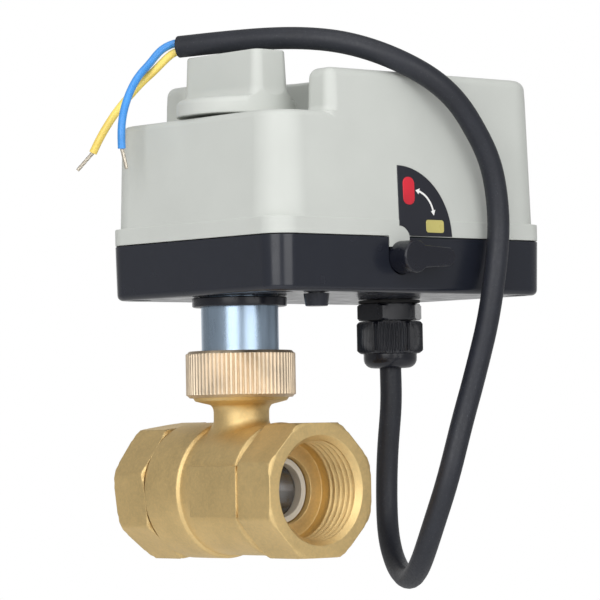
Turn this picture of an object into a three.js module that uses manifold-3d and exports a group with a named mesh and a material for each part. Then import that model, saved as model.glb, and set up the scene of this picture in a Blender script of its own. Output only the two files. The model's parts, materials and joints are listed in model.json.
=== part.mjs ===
// Motorized valve actuator on a DN25 brass ball valve, as separate working pieces.
// Millimetres, +Z up. The origin is where the valve's bore axis (Y) crosses the stem axis (Z).
// The housing reaches out towards +X, and its lever face looks towards -Y.

import * as THREE from 'three';
import { mergeVertices } from 'three/addons/utils/BufferGeometryUtils.js';
import Module from 'manifold-3d';

const wasm = await Module();
wasm.setup();

const GAP = 0.3; // clearance between neighbouring pieces
const DEG = Math.PI / 180;

// Valve
const HEX_PORT = 41; // across the flats of both octagonal ends
const PORT_NEAR = -37; // Y of the near port face
const PORT_FAR = 38.2; // Y of the far port face
const THREAD_MINOR = 15.15; // G1 female thread
const THREAD_DEPTH = 1.4;
const THREAD_PITCH = 2.309;
const BALL_R = 17;
const BORE_R = 8.4; // through the ball and its seats
const SHOULDER_R = 10.5; // opening in the wall behind each thread
const STEM_R = 4.5;
const HEAD_TOP = 38.9;

// Housing
const LEFT = -20;
const RIGHT = 94;
const HALF = 42; // half width along Y
const BOTTOM = 60.2;
const FLOOR = 63;
const SEAM = 77.4;
const RIM_TOP = 82.7;
const DECK = 115.2;
const CROWN = 129;
const WALL = 2.5;
const RIM_CORNER = 8;
const COVER_CORNER = 12;
const CROWN_CORNER = 3.6;
const CROWN_LEFT = 1.6; // left end of the raised part, measured at the seam
const POCKET_R = 29.5; // pocket around the hand knob
const DRAFT = 0.032; // wall lean of the cover, mm per mm
const SCREW_SPOTS = [[-12.3, 34.3], [86.5, 34.5], [86.5, -34.5], [-12.3, -34.3]];

// Hand knob and shaft
const KNOB_R = 18.75;
const KNOB_BOTTOM = 116.2;
const KNOB_SHOULDER = 121.5;
const KNOB_TOP = 136;
const SHAFT_R = 5;
const SHAFT_UPPER_R = 4.2;

// Gear train: module 1, all axes on the line Y = 0
const MODULE = 1;
const OUTPUT_TEETH = 30;
const IDLER_SMALL = 12;
const IDLER_LARGE = 24;
const PINION_TEETH = 15;
const IDLER_X = MODULE * (OUTPUT_TEETH + IDLER_SMALL) / 2;
const PINION_X = IDLER_X + MODULE * (IDLER_LARGE + PINION_TEETH) / 2;
const MOTOR_X = 59.5;
const MOTOR_R = 24.5;
const PLATE_Z = 100;
const PLATE_TOP = 101.5;
const PLATE_POSTS = [[8, 31], [77, -32], [8, -31], [77, 32]];

// Manual lever, on an axis along Y
const LEVER_X = 30.4;
const LEVER_Z = 71;
const LEVER_BOSS_R = 5.05;
const LEVER_SHAFT_R = 3;

// Cable gland and lead
const GLAND_X = 65;
const GLAND_Y = 2;
const CABLE_R = 3.5;
const CABLE_HOLE_R = 3.85; // bore of the gland that the lead passes

// ---- Solids ----

// Signed volume of an indexed triangle list.
function signedVolume(p, t) {
  let sum = 0;
  for (let i = 0; i < t.length; i += 3) {
    const [a, b, c] = [3 * t[i], 3 * t[i + 1], 3 * t[i + 2]];
    sum += p[a] * (p[b + 1] * p[c + 2] - p[b + 2] * p[c + 1]);
    sum += p[a + 1] * (p[b + 2] * p[c] - p[b] * p[c + 2]);
    sum += p[a + 2] * (p[b] * p[c + 1] - p[b + 1] * p[c]);
  }
  return sum / 6;
}

// Turns a closed three.js geometry into a solid that can be joined and cut.
function solid(geometry) {
  const bare = geometry.clone();
  bare.deleteAttribute('uv');
  bare.deleteAttribute('normal');
  const merged = mergeVertices(bare, 1e-4);
  const points = new Float32Array(merged.attributes.position.array);
  const index = merged.index.array;
  const kept = [];
  for (let i = 0; i < index.length; i += 3) {
    const [a, b, c] = [index[i], index[i + 1], index[i + 2]];
    if (a !== b && b !== c && c !== a) kept.push(a, b, c);
  }
  if (signedVolume(points, kept) < 0) kept.reverse();
  const triVerts = new Uint32Array(kept);
  return new wasm.Manifold(new wasm.Mesh({ numProp: 3, vertProperties: points, triVerts }));
}

function geometryOf(body) {
  const mesh = body.getMesh();
  const geometry = new THREE.BufferGeometry();
  geometry.setAttribute('position', new THREE.BufferAttribute(mesh.vertProperties, 3));
  geometry.setIndex(new THREE.BufferAttribute(mesh.triVerts, 1));
  geometry.computeVertexNormals();
  return geometry;
}

const join = (first, ...others) => others.reduce((sum, body) => sum.add(body), first);
const cut = (first, ...tools) => tools.reduce((rest, tool) => rest.subtract(tool), first);
const alongY = (body) => body.rotate([-90, 0, 0]);

function block(x0, x1, y0, y1, z0, z1) {
  const geometry = new THREE.BoxGeometry(x1 - x0, y1 - y0, z1 - z0);
  geometry.translate((x0 + x1) / 2, (y0 + y1) / 2, (z0 + z1) / 2);
  return solid(geometry);
}

// Upright cylinder at (x, y).
function rod(radius, z0, z1, x = 0, y = 0, sides = 16) {
  const geometry = new THREE.CylinderGeometry(radius, radius, z1 - z0, sides);
  geometry.rotateX(Math.PI / 2);
  geometry.translate(x, y, (z0 + z1) / 2);
  return solid(geometry);
}

// Cylinder along Y at (x, z).
function rodY(radius, y0, y1, x, z, sides = 20) {
  const geometry = new THREE.CylinderGeometry(radius, radius, y1 - y0, sides);
  geometry.translate(x, (y0 + y1) / 2, z);
  return solid(geometry);
}

// Solid of revolution from [radius, height] pairs, about Y.
function turnedY(profile, sides = 28) {
  return solid(new THREE.LatheGeometry(profile.map(([r, h]) => new THREE.Vector2(r, h)), sides));
}

// The same about Z, standing at (x, y).
function turned(profile, sides = 26, x = 0, y = 0) {
  return turnedY(profile, sides).rotate([90, 0, 0]).translate([x, y, 0]);
}

function ring(inner, outer, z0, z1, x = 0, y = 0, sides = 24) {
  return turned([[inner, z0], [outer, z0], [outer, z1], [inner, z1], [inner, z0]], sides, x, y);
}

// Straight extrusion of an outline, with an optional edge chamfer or round.
function prism(points, z0, z1, edge = 0, steps = 1) {
  const shape = new THREE.Shape(points.map(([x, y]) => new THREE.Vector2(x, y)));
  const geometry = new THREE.ExtrudeGeometry(shape, {
    depth: z1 - z0 - 2 * edge,
    bevelEnabled: edge > 0,
    bevelThickness: edge,
    bevelSize: edge,
    bevelOffset: -edge,
    bevelSegments: steps,
  });
  geometry.translate(0, 0, z0 + edge);
  return solid(geometry);
}

// Tube of constant radius along a smooth line through the given points.
function tube(points, radius, steps, sides = 6) {
  const path = new THREE.CatmullRomCurve3(points.map((p) => new THREE.Vector3(...p)));
  const section = new THREE.Shape(arc(0, 0, radius, 0, 360 - 360 / sides, sides - 1)
    .map(([x, y]) => new THREE.Vector2(x, y)));
  return solid(new THREE.ExtrudeGeometry(section, { steps, extrudePath: path }));
}

// ---- Outlines, as [x, y] pairs ----

// Point at a distance and an angle, in degrees.
const polar = (radius, angle, cx = 0, cy = 0) => [
  cx + radius * Math.cos(angle * DEG), cy + radius * Math.sin(angle * DEG)];

// Arc from one angle to another, in degrees.
function arc(cx, cy, radius, from, to, steps) {
  const points = [];
  for (let i = 0; i <= steps; i += 1) {
    points.push(polar(radius, from + (to - from) * i / steps, cx, cy));
  }
  return points;
}

// Rectangle with a corner radius for each corner, starting at the lower left one.
function roundedRect(x0, x1, y0, y1, radii, steps = 6) {
  const [a, b, c, d] = Array.isArray(radii) ? radii : [radii, radii, radii, radii];
  return [
    ...arc(x0 + a, y0 + a, a, 180, 270, steps),
    ...arc(x1 - b, y0 + b, b, 270, 360, steps),
    ...arc(x1 - c, y1 - c, c, 0, 90, steps),
    ...arc(x0 + d, y1 - d, d, 90, 180, steps),
  ];
}

// Regular polygon with a flat towards +X, turned by an angle in degrees.
function regular(sides, acrossFlats, turn = 0) {
  const half = 180 / sides;
  const radius = acrossFlats / 2 / Math.cos(half * DEG);
  return arc(0, 0, radius, turn + half, turn + 360 - half, sides - 1);
}

// Involute spur gear, one tooth centred on the given angle in degrees.
function gearOutline(teeth, turn) {
  const pitch = MODULE * teeth / 2;
  const base = pitch * Math.cos(20 * DEG);
  const tip = pitch + 0.9 * MODULE;
  const root = pitch - 1.25 * MODULE;
  const involute = (r) => {
    const a = Math.acos(Math.min(1, base / r));
    return Math.tan(a) - a;
  };
  const halfTooth = (Math.PI / 2 - 0.22) / teeth + involute(pitch);
  const side = [[root, halfTooth + 0.04], [tip, halfTooth - involute(tip)]];
  const points = [];
  for (let i = 0; i < teeth; i += 1) {
    const centre = turn * DEG + 2 * Math.PI * i / teeth;
    const place = ([r, a]) => [r * Math.cos(centre + a), r * Math.sin(centre + a)];
    side.forEach(([r, a]) => points.push(place([r, -a])));
    [...side].reverse().forEach(([r, a]) => points.push(place([r, a])));
  }
  return points;
}

// ---- Pieces ----

const actuator = new THREE.Group();
actuator.name = 'motorized_valve_actuator';

const FINISHES = {
  grey_plastic: [0xc9cbc6, 0.5, 0],
  dark_plastic: [0x36383e, 0.5, 0],
  black_plastic: [0x1d1e21, 0.55, 0],
  white_plastic: [0xe8e6df, 0.5, 0],
  rubber: [0x202022, 0.8, 0],
  brass: [0xb09358, 0.35, 1],
  nut_brass: [0xc89a62, 0.35, 1],
  zinc: [0xaab2bd, 0.3, 1],
  steel: [0x9a9da2, 0.35, 1],
  bronze: [0x9c7a4a, 0.4, 1],
  gear_plastic: [0xd9d4c4, 0.5, 0],
  circuit_green: [0x2f6b45, 0.5, 0],
  terminal_green: [0x3f8f5a, 0.5, 0],
  marker_red: [0xc8323a, 0.5, 0],
  marker_yellow: [0xd8c860, 0.5, 0],
  marker_white: [0xf2f2f0, 0.5, 0],
  core_blue: [0x3f86d8, 0.45, 0],
  core_yellow: [0xf0c542, 0.45, 0],
  copper: [0xb9b2a4, 0.35, 1],
};

function piece(name, body, finish) {
  const [color, roughness, metalness] = FINISHES[finish];
  const material = new THREE.MeshStandardMaterial({ color, roughness, metalness });
  const mesh = new THREE.Mesh(geometryOf(body), material);
  mesh.name = name;
  actuator.add(mesh);
}

// ---- Valve ----

// Bore of one port, from its open end inwards: lead-in chamfer, thread, relief, shoulder.
function portBore(face) {
  const profile = [[0, -1], [17.6, -1], [THREAD_MINOR, 1.8]];
  for (let i = 0; i < 5; i += 1) {
    const start = 1.8 + i * THREAD_PITCH;
    profile.push([THREAD_MINOR + THREAD_DEPTH, start + THREAD_PITCH / 2]);
    profile.push([THREAD_MINOR, start + THREAD_PITCH]);
  }
  profile.push([15, 14], [15, 16.7], [SHOULDER_R, 16.9], [SHOULDER_R, 24], [0, 24]);
  const inward = face < 0 ? 1 : -1;
  return turnedY(profile.map(([r, h]) => [r, face + inward * h]), 24);
}

// Octagonal port end with turned corners, between two Y positions.
function portHex(y0, y1, turn) {
  const octagon = alongY(prism(regular(8, HEX_PORT, turn), y0, y1, 0.7));
  const corner = 22.4;
  const ease = 1.2;
  const blank = turnedY([
    [0, y0], [corner - ease, y0], [corner, y0 + ease],
    [corner, y1 - ease], [corner - ease, y1], [0, y1],
  ]);
  return octagon.intersect(blank);
}

function valveBody() {
  const barrel = turnedY([
    [0, -21.6], [19.6, -21.6], [19.6, -19.9], [20.8, -19.5], [20.8, -18], [20.1, -17.4],
    [20.1, 6.2], [21.2, 6.8], [21.2, 22.4], [20.8, 22.8], [0, 22.8],
  ]);
  const pads = block(-20.8, 20.8, -22.2, 0.5, -8.3, 8.3);
  const neck = turned([
    [0, 10], [9.4, 10], [9.4, 20.2], [8.65, 21.4], [8.65, 24.8], [9.1, 26], [9.75, 26.7],
    [14.5, 27.8], [14.5, 28.6], [15.1, 28.9], [15.1, 38.4], [14.6, HEAD_TOP], [0, HEAD_TOP],
  ]);
  const cavity = turnedY([
    [0, -16.3], [14.8, -16.3], [14.8, -12.6], [17.6, -12.6],
    [17.6, 12], [18.2, 12], [18.2, 23.5], [0, 23.5],
  ], 24);
  const stemBore = join(rod(STEM_R + GAP, 0, 40), rod(7.3, 0, 20.2));
  return cut(join(portHex(PORT_NEAR, -21.4, 0), barrel, pads, neck),
    portBore(PORT_NEAR), cavity, stemBore);
}

function endPiece() {
  const spigot = turnedY([[0, 12.3], [17.5, 12.3], [17.9, 12.7], [17.9, 24], [0, 24]]);
  const seatPocket = rodY(14.8, 11, 16.3, 0, 0, 48);
  return cut(join(portHex(23.3, PORT_FAR, 7.5), spigot), portBore(PORT_FAR), seatPocket);
}

// Seat ring with a spherical face towards the ball and a collar in the port's shoulder.
function seatRing(side) {
  const profile = [
    [BORE_R, 18.2], [SHOULDER_R - GAP, 18.2], [SHOULDER_R - GAP, 16], [14.5, 16], [14.5, 11.7],
    [12.74, 11.7], [11.7, 12.74], [10.6, 13.67], [9.5, 14.46], [BORE_R, 15.12], [BORE_R, 18.2],
  ];
  return turnedY(profile.map(([r, h]) => [r, side * h]), 24);
}

function valveBall() {
  const slot = block(-20, 20, -3.1, 3.1, 12, 20);
  const geometry = new THREE.SphereGeometry(BALL_R, 24, 14);
  return cut(solid(geometry), rodY(BORE_R, -20, 20, 0, 0, 24), slot);
}

function valveStem() {
  const shank = turned([
    [0, 17.3], [7, 17.3], [7, 18.8], [STEM_R, 18.8], [STEM_R, 29], [3.2, 29], [3.2, 30.6],
    [STEM_R, 30.6], [STEM_R, 50], [0, 50],
  ], 24);
  const tongue = rod(7, 12.3, 17.5).intersect(block(-7.5, 7.5, -2.8, 2.8, 12, 18));
  const flats = [[-6, -3], [3, 6]].map(([x0, x1]) => block(x0, x1, -6, 6, 40.6, 51));
  return cut(join(shank, tongue), ...flats);
}

piece('valve_body', valveBody(), 'brass');
piece('end_piece', endPiece(), 'brass');
piece('valve_ball', valveBall(), 'zinc');
piece('seat_near', seatRing(-1), 'white_plastic');
piece('seat_far', seatRing(1), 'white_plastic');
piece('valve_stem', valveStem(), 'brass');
piece('stem_oring', ring(3.5, 4.5, 29.3, 30.3, 0, 0, 20), 'rubber');
piece('stem_washer', ring(4.8, 7, 19.1, 19.9, 0, 0, 20), 'white_plastic');

// ---- Union between valve and actuator ----

// Nut with a straight knurl around it and an inner lip that pulls the sleeve down.
function unionNut() {
  const knurl = [];
  const ridges = 72;
  for (let i = 0; i < ridges; i += 1) {
    knurl.push(polar(17.1, 360 * i / ridges), polar(16.72, 360 * (i + 0.5) / ridges));
  }
  const core = turned([
    [0, 28.8], [16, 28.8], [16.7, 29.6], [16.7, 42.5], [16, 43.3], [0, 43.3],
  ], 36);
  const inside = turned([[0, 28], [15.4, 28], [15.4, 41.6], [12.35, 41.6], [12.35, 44], [0, 44]]);
  return cut(join(core, prism(knurl, 29.8, 42.3)), inside);
}

function sleeve() {
  return turned([
    [7.8, 39.3], [14.2, 39.3], [14.2, 41.3], [12.05, 41.3], [12.05, 59.9], [10.4, 59.9],
    [10.4, 67.6], [10, 68], [8.2, 68], [8.2, 59], [5.6, 59], [5.6, 56.9], [7.8, 56.9], [7.8, 39.3],
  ]);
}

piece('union_nut', unionNut(), 'nut_brass');
piece('sleeve', sleeve(), 'zinc');
piece('sleeve_locknut', cut(prism(regular(6, 27), 63.3, 67, 0.4), rod(10.7, 60, 70)), 'steel');
piece('mounting_collar', ring(12.35, 14.8, 57, 59.9, 0, 0, 30), 'black_plastic');

// ---- Housing ----

// Rounded box whose walls lean inwards with height, rounded along its top edge.
// The outline given is the one at zFull.
function moulded({ x0, x1, half, radii, z0, z1, zFull, lean, round, steps = 5 }) {
  const shape = new THREE.Shape(roundedRect(x0, x1, -half, half, radii, steps)
    .map(([x, y]) => new THREE.Vector2(x, y)));
  const geometry = new THREE.ExtrudeGeometry(shape, {
    depth: z1 - z0,
    bevelEnabled: true,
    bevelThickness: round,
    bevelSize: round,
    bevelOffset: -round,
    bevelSegments: Math.ceil(steps / 2),
  });
  geometry.translate(0, 0, z0 - round);
  const position = geometry.attributes.position;
  const middle = (x0 + x1) / 2;
  for (let i = 0; i < position.count; i += 1) {
    const inward = lean * (position.getZ(i) - zFull);
    const x = position.getX(i) - middle;
    position.setX(i, middle + x * (1 - 2 * inward / (x1 - x0)));
    position.setY(i, position.getY(i) * (1 - inward / half));
  }
  return cut(solid(geometry), block(x0 - 5, x1 + 5, -half - 5, half + 5, z0 - 3 * round - 1, z0));
}

function baseShell() {
  const outer = moulded({
    x0: LEFT, x1: RIGHT, half: HALF, radii: RIM_CORNER,
    z0: -(SEAM - GAP / 2), z1: -BOTTOM, zFull: -(SEAM - GAP / 2), lean: 0.024, round: 1.8,
  }).mirror([0, 0, 1]);
  const room = prism(roundedRect(LEFT + WALL, RIGHT - WALL, -HALF + WALL, HALF - WALL,
    RIM_CORNER - WALL, 3), FLOOR, 80);
  const inSpace = [
    ...SCREW_SPOTS.map(([x, y]) => rod(5.2, 61, SEAM - GAP / 2, x, y, 12)),
    ...PLATE_POSTS.map(([x, y]) => rod(3.5, 61, PLATE_Z - GAP, x, y, 10)),
    ...[-7, 7].map((x) => join(rod(2.2, 61, 68, x, 18, 8), rod(1.2, 61, 76, x, 18, 6))),
    ...[-7, 7].map((x) => join(rod(2.2, 61, 72, x, -18, 8), rod(1.2, 61, 80, x, -18, 6))),
    ...[[47, -33], [67, -33], [47, -15], [67, -15]].map(([x, y]) => rod(2, 61, 71.7, x, y, 8)),
    rod(3.2, 61, 72, IDLER_X, 0, 24),
    rod(2, 61, 86, 26, 9, 12),
    block(26, 36, -14, -11, 61, 76.5),
    block(26, 36, 5, 8, 61, 76.5),
  ];
  const rabbet = cut(
    prism(roundedRect(LEFT + 1.4, RIGHT - 1.4, -HALF + 1.4, HALF - 1.4, RIM_CORNER - 1.4, 3), 76, 78),
    prism(roundedRect(LEFT + 3.2, RIGHT - 3.2, -HALF + 3.2, HALF - 3.2, RIM_CORNER - 3.2, 3), 75, 79),
  );
  const openings = [
    rod(10.7, 59, 64, 0, 0, 28),
    rod(7.85, 59, 64, GLAND_X, GLAND_Y),
    rod(2.8, 59, 64, 3, -33, 24),
    rod(2.3, 66, 73, IDLER_X, 0, 24),
    rodY(LEVER_BOSS_R + GAP, -43, -38.5, LEVER_X, LEVER_Z),
    block(LEVER_X - 5.35, LEVER_X + 5.35, -43, -38.5, LEVER_Z, 79),
    rodY(LEVER_SHAFT_R + GAP, -16, 9, LEVER_X, LEVER_Z, 24),
    block(LEVER_X - 3.3, LEVER_X + 3.3, -16, 9, LEVER_Z, 79),
    ...SCREW_SPOTS.map(([x, y]) => join(rod(3.6, 59, 66, x, y, 14), rod(1.9, 59, 79, x, y, 8))),
    ...PLATE_POSTS.slice(0, 2).map(([x, y]) => rod(1.9, 88.5, 101, x, y, 8)),
  ];
  return cut(join(cut(outer, room), ...inSpace), rabbet, ...openings);
}

// Outer form of the cover, or the room inside it when given an inset.
function coverForm(inset, z0) {
  const corner = COVER_CORNER - inset;
  const steps = inset > 0 ? 2 : 5;
  const lower = moulded({
    x0: LEFT + inset, x1: RIGHT - inset, half: HALF - inset, radii: corner,
    z0, z1: DECK - inset, zFull: SEAM + GAP / 2, lean: DRAFT, round: Math.max(2.25 - inset, 0.5), steps,
  });
  const crown = moulded({
    x0: CROWN_LEFT + inset, x1: RIGHT - inset - 0.02, half: HALF - inset - 0.02,
    radii: [CROWN_CORNER - inset, corner, corner, CROWN_CORNER - inset],
    z0: DECK - inset - 6, z1: CROWN - inset, zFull: SEAM + GAP / 2, lean: DRAFT, round: 3.2 - inset, steps,
  });
  return join(lower, cut(crown, rod(POCKET_R + inset, DECK - inset, CROWN + 5, 0, 0, inset > 0 ? 24 : 48)));
}

// A flat plate lying against the leaning front wall. Outline heights are real Z values.
function onFront(points, depth, proud) {
  return prism(points.map(([x, z]) => [x, z - SEAM]), -depth, proud)
    .rotate([90, 0, 0])
    .rotate([-Math.atan(DRAFT) / DEG, 0, 0])
    .translate([0, -HALF, SEAM]);
}

const LABEL = { x: 29.6, z: SEAM, radius: 22, notch: 4.2 };
const ARROW = { x: 35.9, z: 83.7, radius: 8.3 };

// Quarter disc with a small notch at its corner.
function labelOutline(grow, bottom) {
  return [
    ...arc(LABEL.x, LABEL.z, LABEL.radius + grow, 0, 90, 12)
      .map(([x, z]) => [Math.max(x, LABEL.x - grow), Math.max(z, bottom)]),
    ...arc(LABEL.x - grow, bottom, LABEL.notch - grow, 90, 0, 5),
  ];
}

function cover() {
  const rim = prism(roundedRect(LEFT, RIGHT, -HALF, HALF, RIM_CORNER), SEAM + GAP / 2, RIM_TOP);
  const outer = join(coverForm(0, SEAM + GAP / 2), rim);
  const posts = SCREW_SPOTS.map(([x, y]) => rod(4.2, SEAM + GAP / 2, 98, x, y, 12));
  const shell = join(cut(outer, coverForm(WALL, SEAM - 2)), ...posts);
  const tongue = cut(
    block(LEVER_X - 5.05, LEVER_X + 5.05, -HALF, -HALF + WALL, 74.2, SEAM + 2),
    rodY(LEVER_BOSS_R + GAP, -43, -38, LEVER_X, LEVER_Z),
  );
  return cut(
    join(shell, tongue),
    rod(8, 110, 118),
    onFront(labelOutline(0.25, SEAM - 1), 0.55, 2),
    ...SCREW_SPOTS.map(([x, y]) => rod(1.9, 76, 92, x, y, 8)),
  );
}

// Soft cord on the rim's inner step, open where the lever passes.
function coverGasket() {
  const loop = cut(
    prism(roundedRect(LEFT + 1.7, RIGHT - 1.7, -HALF + 1.7, HALF - 1.7, RIM_CORNER - 1.7, 3), 76.3, 77.25),
    prism(roundedRect(LEFT + 2.9, RIGHT - 2.9, -HALF + 2.9, HALF - 2.9, RIM_CORNER - 2.9, 3), 75, 79),
  );
  return cut(loop, block(LEVER_X - 5.8, LEVER_X + 5.8, -45, -35, 70, 80));
}

function locatingPeg() {
  return turned([[0, 56], [3.2, 56], [3.5, 56.3], [4, 59.9], [2.5, 59.9], [2.5, 62.6], [0, 62.6]],
    20, 3, -33);
}

// Pan-head screw: head between two heights, shank on to a third.
function screw(head, shank, z0, z1, z2, x, y) {
  const body = turned([[0, z0], [head - 0.5, z0], [head, z1 > z0 ? z0 + 0.6 : z0 - 0.6],
    [head, z1], [shank, z1], [shank, z2], [0, z2]], 12, x, y);
  const up = z1 > z0 ? 1 : -1;
  const slotZ = [z0 - 1 * up, z0 + 1 * up].sort((a, b) => a - b);
  return cut(body, block(x - 2, x + 2, y - 0.4, y + 0.4, ...slotZ),
    block(x - 0.4, x + 0.4, y - 2, y + 2, ...slotZ));
}

piece('base_shell', baseShell(), 'dark_plastic');
piece('cover', cover(), 'grey_plastic');
piece('cover_gasket', coverGasket(), 'rubber');
piece('locating_peg', locatingPeg(), 'dark_plastic');
SCREW_SPOTS.forEach(([x, y], i) => {
  piece(`cover_screw_${i + 1}`, screw(3.2, 1.6, 63.2, 65.7, 90, x, y), 'steel');
});

// ---- Label ----

function arrowOutline() {
  const [from, to, head] = [4, 84, 11];
  const at = (offset, angle) => polar(ARROW.radius + offset, angle, ARROW.x, ARROW.z);
  const edge = (offset, start, end) => arc(ARROW.x, ARROW.z, ARROW.radius + offset, start, end, 8);
  return [
    ...edge(0.33, from + head, to - head),
    at(1, to - head), at(0, to), at(-1, to - head),
    ...edge(-0.33, to - head, from + head),
    at(-1, from + head), at(0, from), at(1, from + head),
  ];
}

const redOutline = roundedRect(31.4, 36.4, 87.3, 96.1, 2, 4);
const yellowOutline = roundedRect(40.7, 48.2, 78.9, 82.9, 0.9, 3);
const labelPlate = cut(onFront(labelOutline(0, SEAM + 0.35), 0.25, 0.4),
  ...[redOutline, yellowOutline, arrowOutline()].map((outline) => onFront(outline, -0.15, 2)));

piece('label_plate', labelPlate, 'dark_plastic');
piece('red_marker', onFront(redOutline.map(([x, z]) => [
  33.9 + (x - 33.9) * 0.97, 91.7 + (z - 91.7) * 0.98]), -0.2, 0.45), 'marker_red');
piece('yellow_marker', onFront(yellowOutline.map(([x, z]) => [
  44.45 + (x - 44.45) * 0.98, 80.9 + (z - 80.9) * 0.96]), -0.2, 0.45), 'marker_yellow');
piece('arrow_mark', onFront(arrowOutline(), -0.2, 0.45), 'marker_white');

// ---- Hand knob, shaft and what turns with it ----

function handKnob() {
  const flange = turned([
    [0, KNOB_BOTTOM], [18.3, KNOB_BOTTOM], [KNOB_R, KNOB_BOTTOM + 0.5],
    [KNOB_R, KNOB_SHOULDER - 2.1], [KNOB_R - 0.6, KNOB_SHOULDER - 0.6], [KNOB_R - 2.1, KNOB_SHOULDER],
    [0, KNOB_SHOULDER],
  ], 36);
  const grip = prism(roundedRect(-6.8, 6.8, -17.9, 17.9, 2.8, 4), KNOB_SHOULDER - 2, KNOB_TOP, 0.8, 2);
  const foot = [0, 1, 2, 3].map((step) => {
    const angle = 22.5 * step * DEG;
    const spread = 3.6 * (1 - Math.sin(angle));
    const height = 3.6 * (1 - Math.cos(angle)) + 0.25;
    return prism(roundedRect(-6.8 - spread, 6.8 + spread, -17.9, 17.9, 2.8, 4),
      KNOB_SHOULDER - 2, KNOB_SHOULDER + height);
  });
  const within = rod(KNOB_R - 0.5, KNOB_BOTTOM, KNOB_TOP, 0, 0, 36);
  const socket = cut(rod(SHAFT_UPPER_R + GAP, 115, 131), block(3.5, 6, -6, 6, 114, 132));
  return cut(join(flange, join(grip, ...foot).intersect(within)), socket);
}

function outputShaft() {
  const shaft = turned([
    [0, 57], [SHAFT_R, 57], [SHAFT_R, 86], [SHAFT_UPPER_R, 86],
    [SHAFT_UPPER_R, 130.2], [3.8, 130.7], [0, 130.7],
  ]);
  return cut(join(shaft, block(-3.5, 3.5, -3.5, 3.5, 51.8, 58)), block(3.2, 6, -6, 6, 115.8, 132));
}

function driveCoupling() {
  const tang = rod(STEM_R + GAP, 40, 50.3).intersect(block(-3.3, 3.3, -6, 6, 40, 50.3));
  return cut(rod(7.5, 41, 56.6, 0, 0, 28), tang, block(-3.8, 3.8, -3.8, 3.8, 51.5, 58));
}

// Disc with one raised lobe that works a limit switch.
function limitCam(z0, z1, angle) {
  const disc = rod(9, z0, z1, 0, 0, 24);
  const lobe = prism([
    ...arc(0, 0, 11.5, angle - 14, angle + 14, 5), ...arc(0, 0, 7, angle + 28, angle - 28, 5),
  ], z0, z1);
  return cut(join(disc, lobe), rod(SHAFT_R + GAP, z0 - 1, z1 + 1));
}

const outputGear = cut(join(prism(gearOutline(OUTPUT_TEETH, 0), 80, 84), rod(8, 77.6, 81)),
  rod(SHAFT_R + GAP, 77, 85));

piece('hand_knob', handKnob(), 'grey_plastic');
piece('knob_seal', ring(4.7, 7.6, 112.9, 115.6, 0, 0, 24), 'rubber');
piece('output_shaft', outputShaft(), 'steel');
piece('drive_coupling', driveCoupling(), 'steel');
piece('output_gear', outputGear, 'gear_plastic');
piece('lower_bushing', ring(SHAFT_R + GAP, 7.9, 59.3, 67.7, 0, 0, 24), 'bronze');
piece('upper_bushing', turned([[4.5, 98.2], [6, 98.2], [6, 101.8], [8, 101.8], [8, 103],
  [4.5, 103], [4.5, 98.2]], 20), 'bronze');
piece('cam_open', limitCam(70, 73, 90), 'gear_plastic');
piece('cam_closed', limitCam(74, 77, 180), 'gear_plastic');

// ---- Gear plate, gears and motor ----

function gearPlate() {
  const plate = join(prism(roundedRect(2, 84, -36, 36, 8), PLATE_Z, PLATE_TOP),
    rod(9, PLATE_Z, PLATE_TOP, 0, 0, 28));
  return cut(
    plate,
    rod(6.3, 99, 103, 0, 0, 24),
    rod(2.3, 99, 103, IDLER_X, 0, 24),
    rod(9.5, 99, 103, PINION_X, 0, 28),
    ...PLATE_POSTS.slice(0, 2).map(([x, y]) => rod(1.9, 99, 103, x, y, 12)),
    ...[-29, 29].map((y) => rod(1.8, 99, 103, MOTOR_X, y, 12)),
  );
}

function idlerGear() {
  const large = prism(gearOutline(IDLER_LARGE, 0), 89, 93);
  const small = prism(gearOutline(IDLER_SMALL, 180 + 180 / IDLER_SMALL), 80.5, 89.5);
  const hub = rod(3.6, 79.8, 95, 0, 0, 16);
  return cut(join(large, small, hub), rod(2.3, 79, 96, 0, 0, 16)).translate([IDLER_X, 0, 0]);
}

function motorPinion() {
  const teeth = prism(gearOutline(PINION_TEETH, 180 + 180 / PINION_TEETH), 88, 98.5);
  return join(teeth, rod(2, 86.5, 104, 0, 0, 24)).translate([PINION_X, 0, 0]);
}

function motorGearbox() {
  const disc = turned([[0, 101.8], [MOTOR_R - 0.5, 101.8], [MOTOR_R, 102.3], [MOTOR_R, 108],
    [MOTOR_R - 0.5, 108.5], [0, 108.5]], 30, MOTOR_X, 0);
  const ears = prism(roundedRect(MOTOR_X - 5.5, MOTOR_X + 5.5, -34, 34, 5, 5), 101.8, 104.8);
  return cut(join(disc, ears), rod(2.3, 101, 104.5, PINION_X, 0, 24),
    ...[-29, 29].map((y) => rod(1.8, 101, 106, MOTOR_X, y, 12)));
}

piece('gear_plate', gearPlate(), 'steel');
PLATE_POSTS.slice(0, 2).forEach(([x, y], i) => {
  piece(`plate_screw_${i + 1}`, screw(3, 1.6, 103.8, 101.8, 90, x, y), 'steel');
});
piece('idler_gear', idlerGear(), 'gear_plastic');
piece('idler_axle', rod(2, 66.3, 101.2, IDLER_X, 0, 24), 'steel');
piece('motor_pinion', motorPinion(), 'steel');
piece('motor_gearbox', motorGearbox(), 'zinc');
piece('motor_can', turned([[0, 108.8], [24, 108.8], [24, 122.8], [22.8, 124], [0, 124]], 30,
  MOTOR_X, 0), 'zinc');
[-29, 29].forEach((y, i) => {
  piece(`motor_screw_${i + 1}`, screw(2.8, 1.5, 107.1, 105.1, 98.5, MOTOR_X, y), 'steel');
});

// ---- Limit switches and circuit ----

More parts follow.
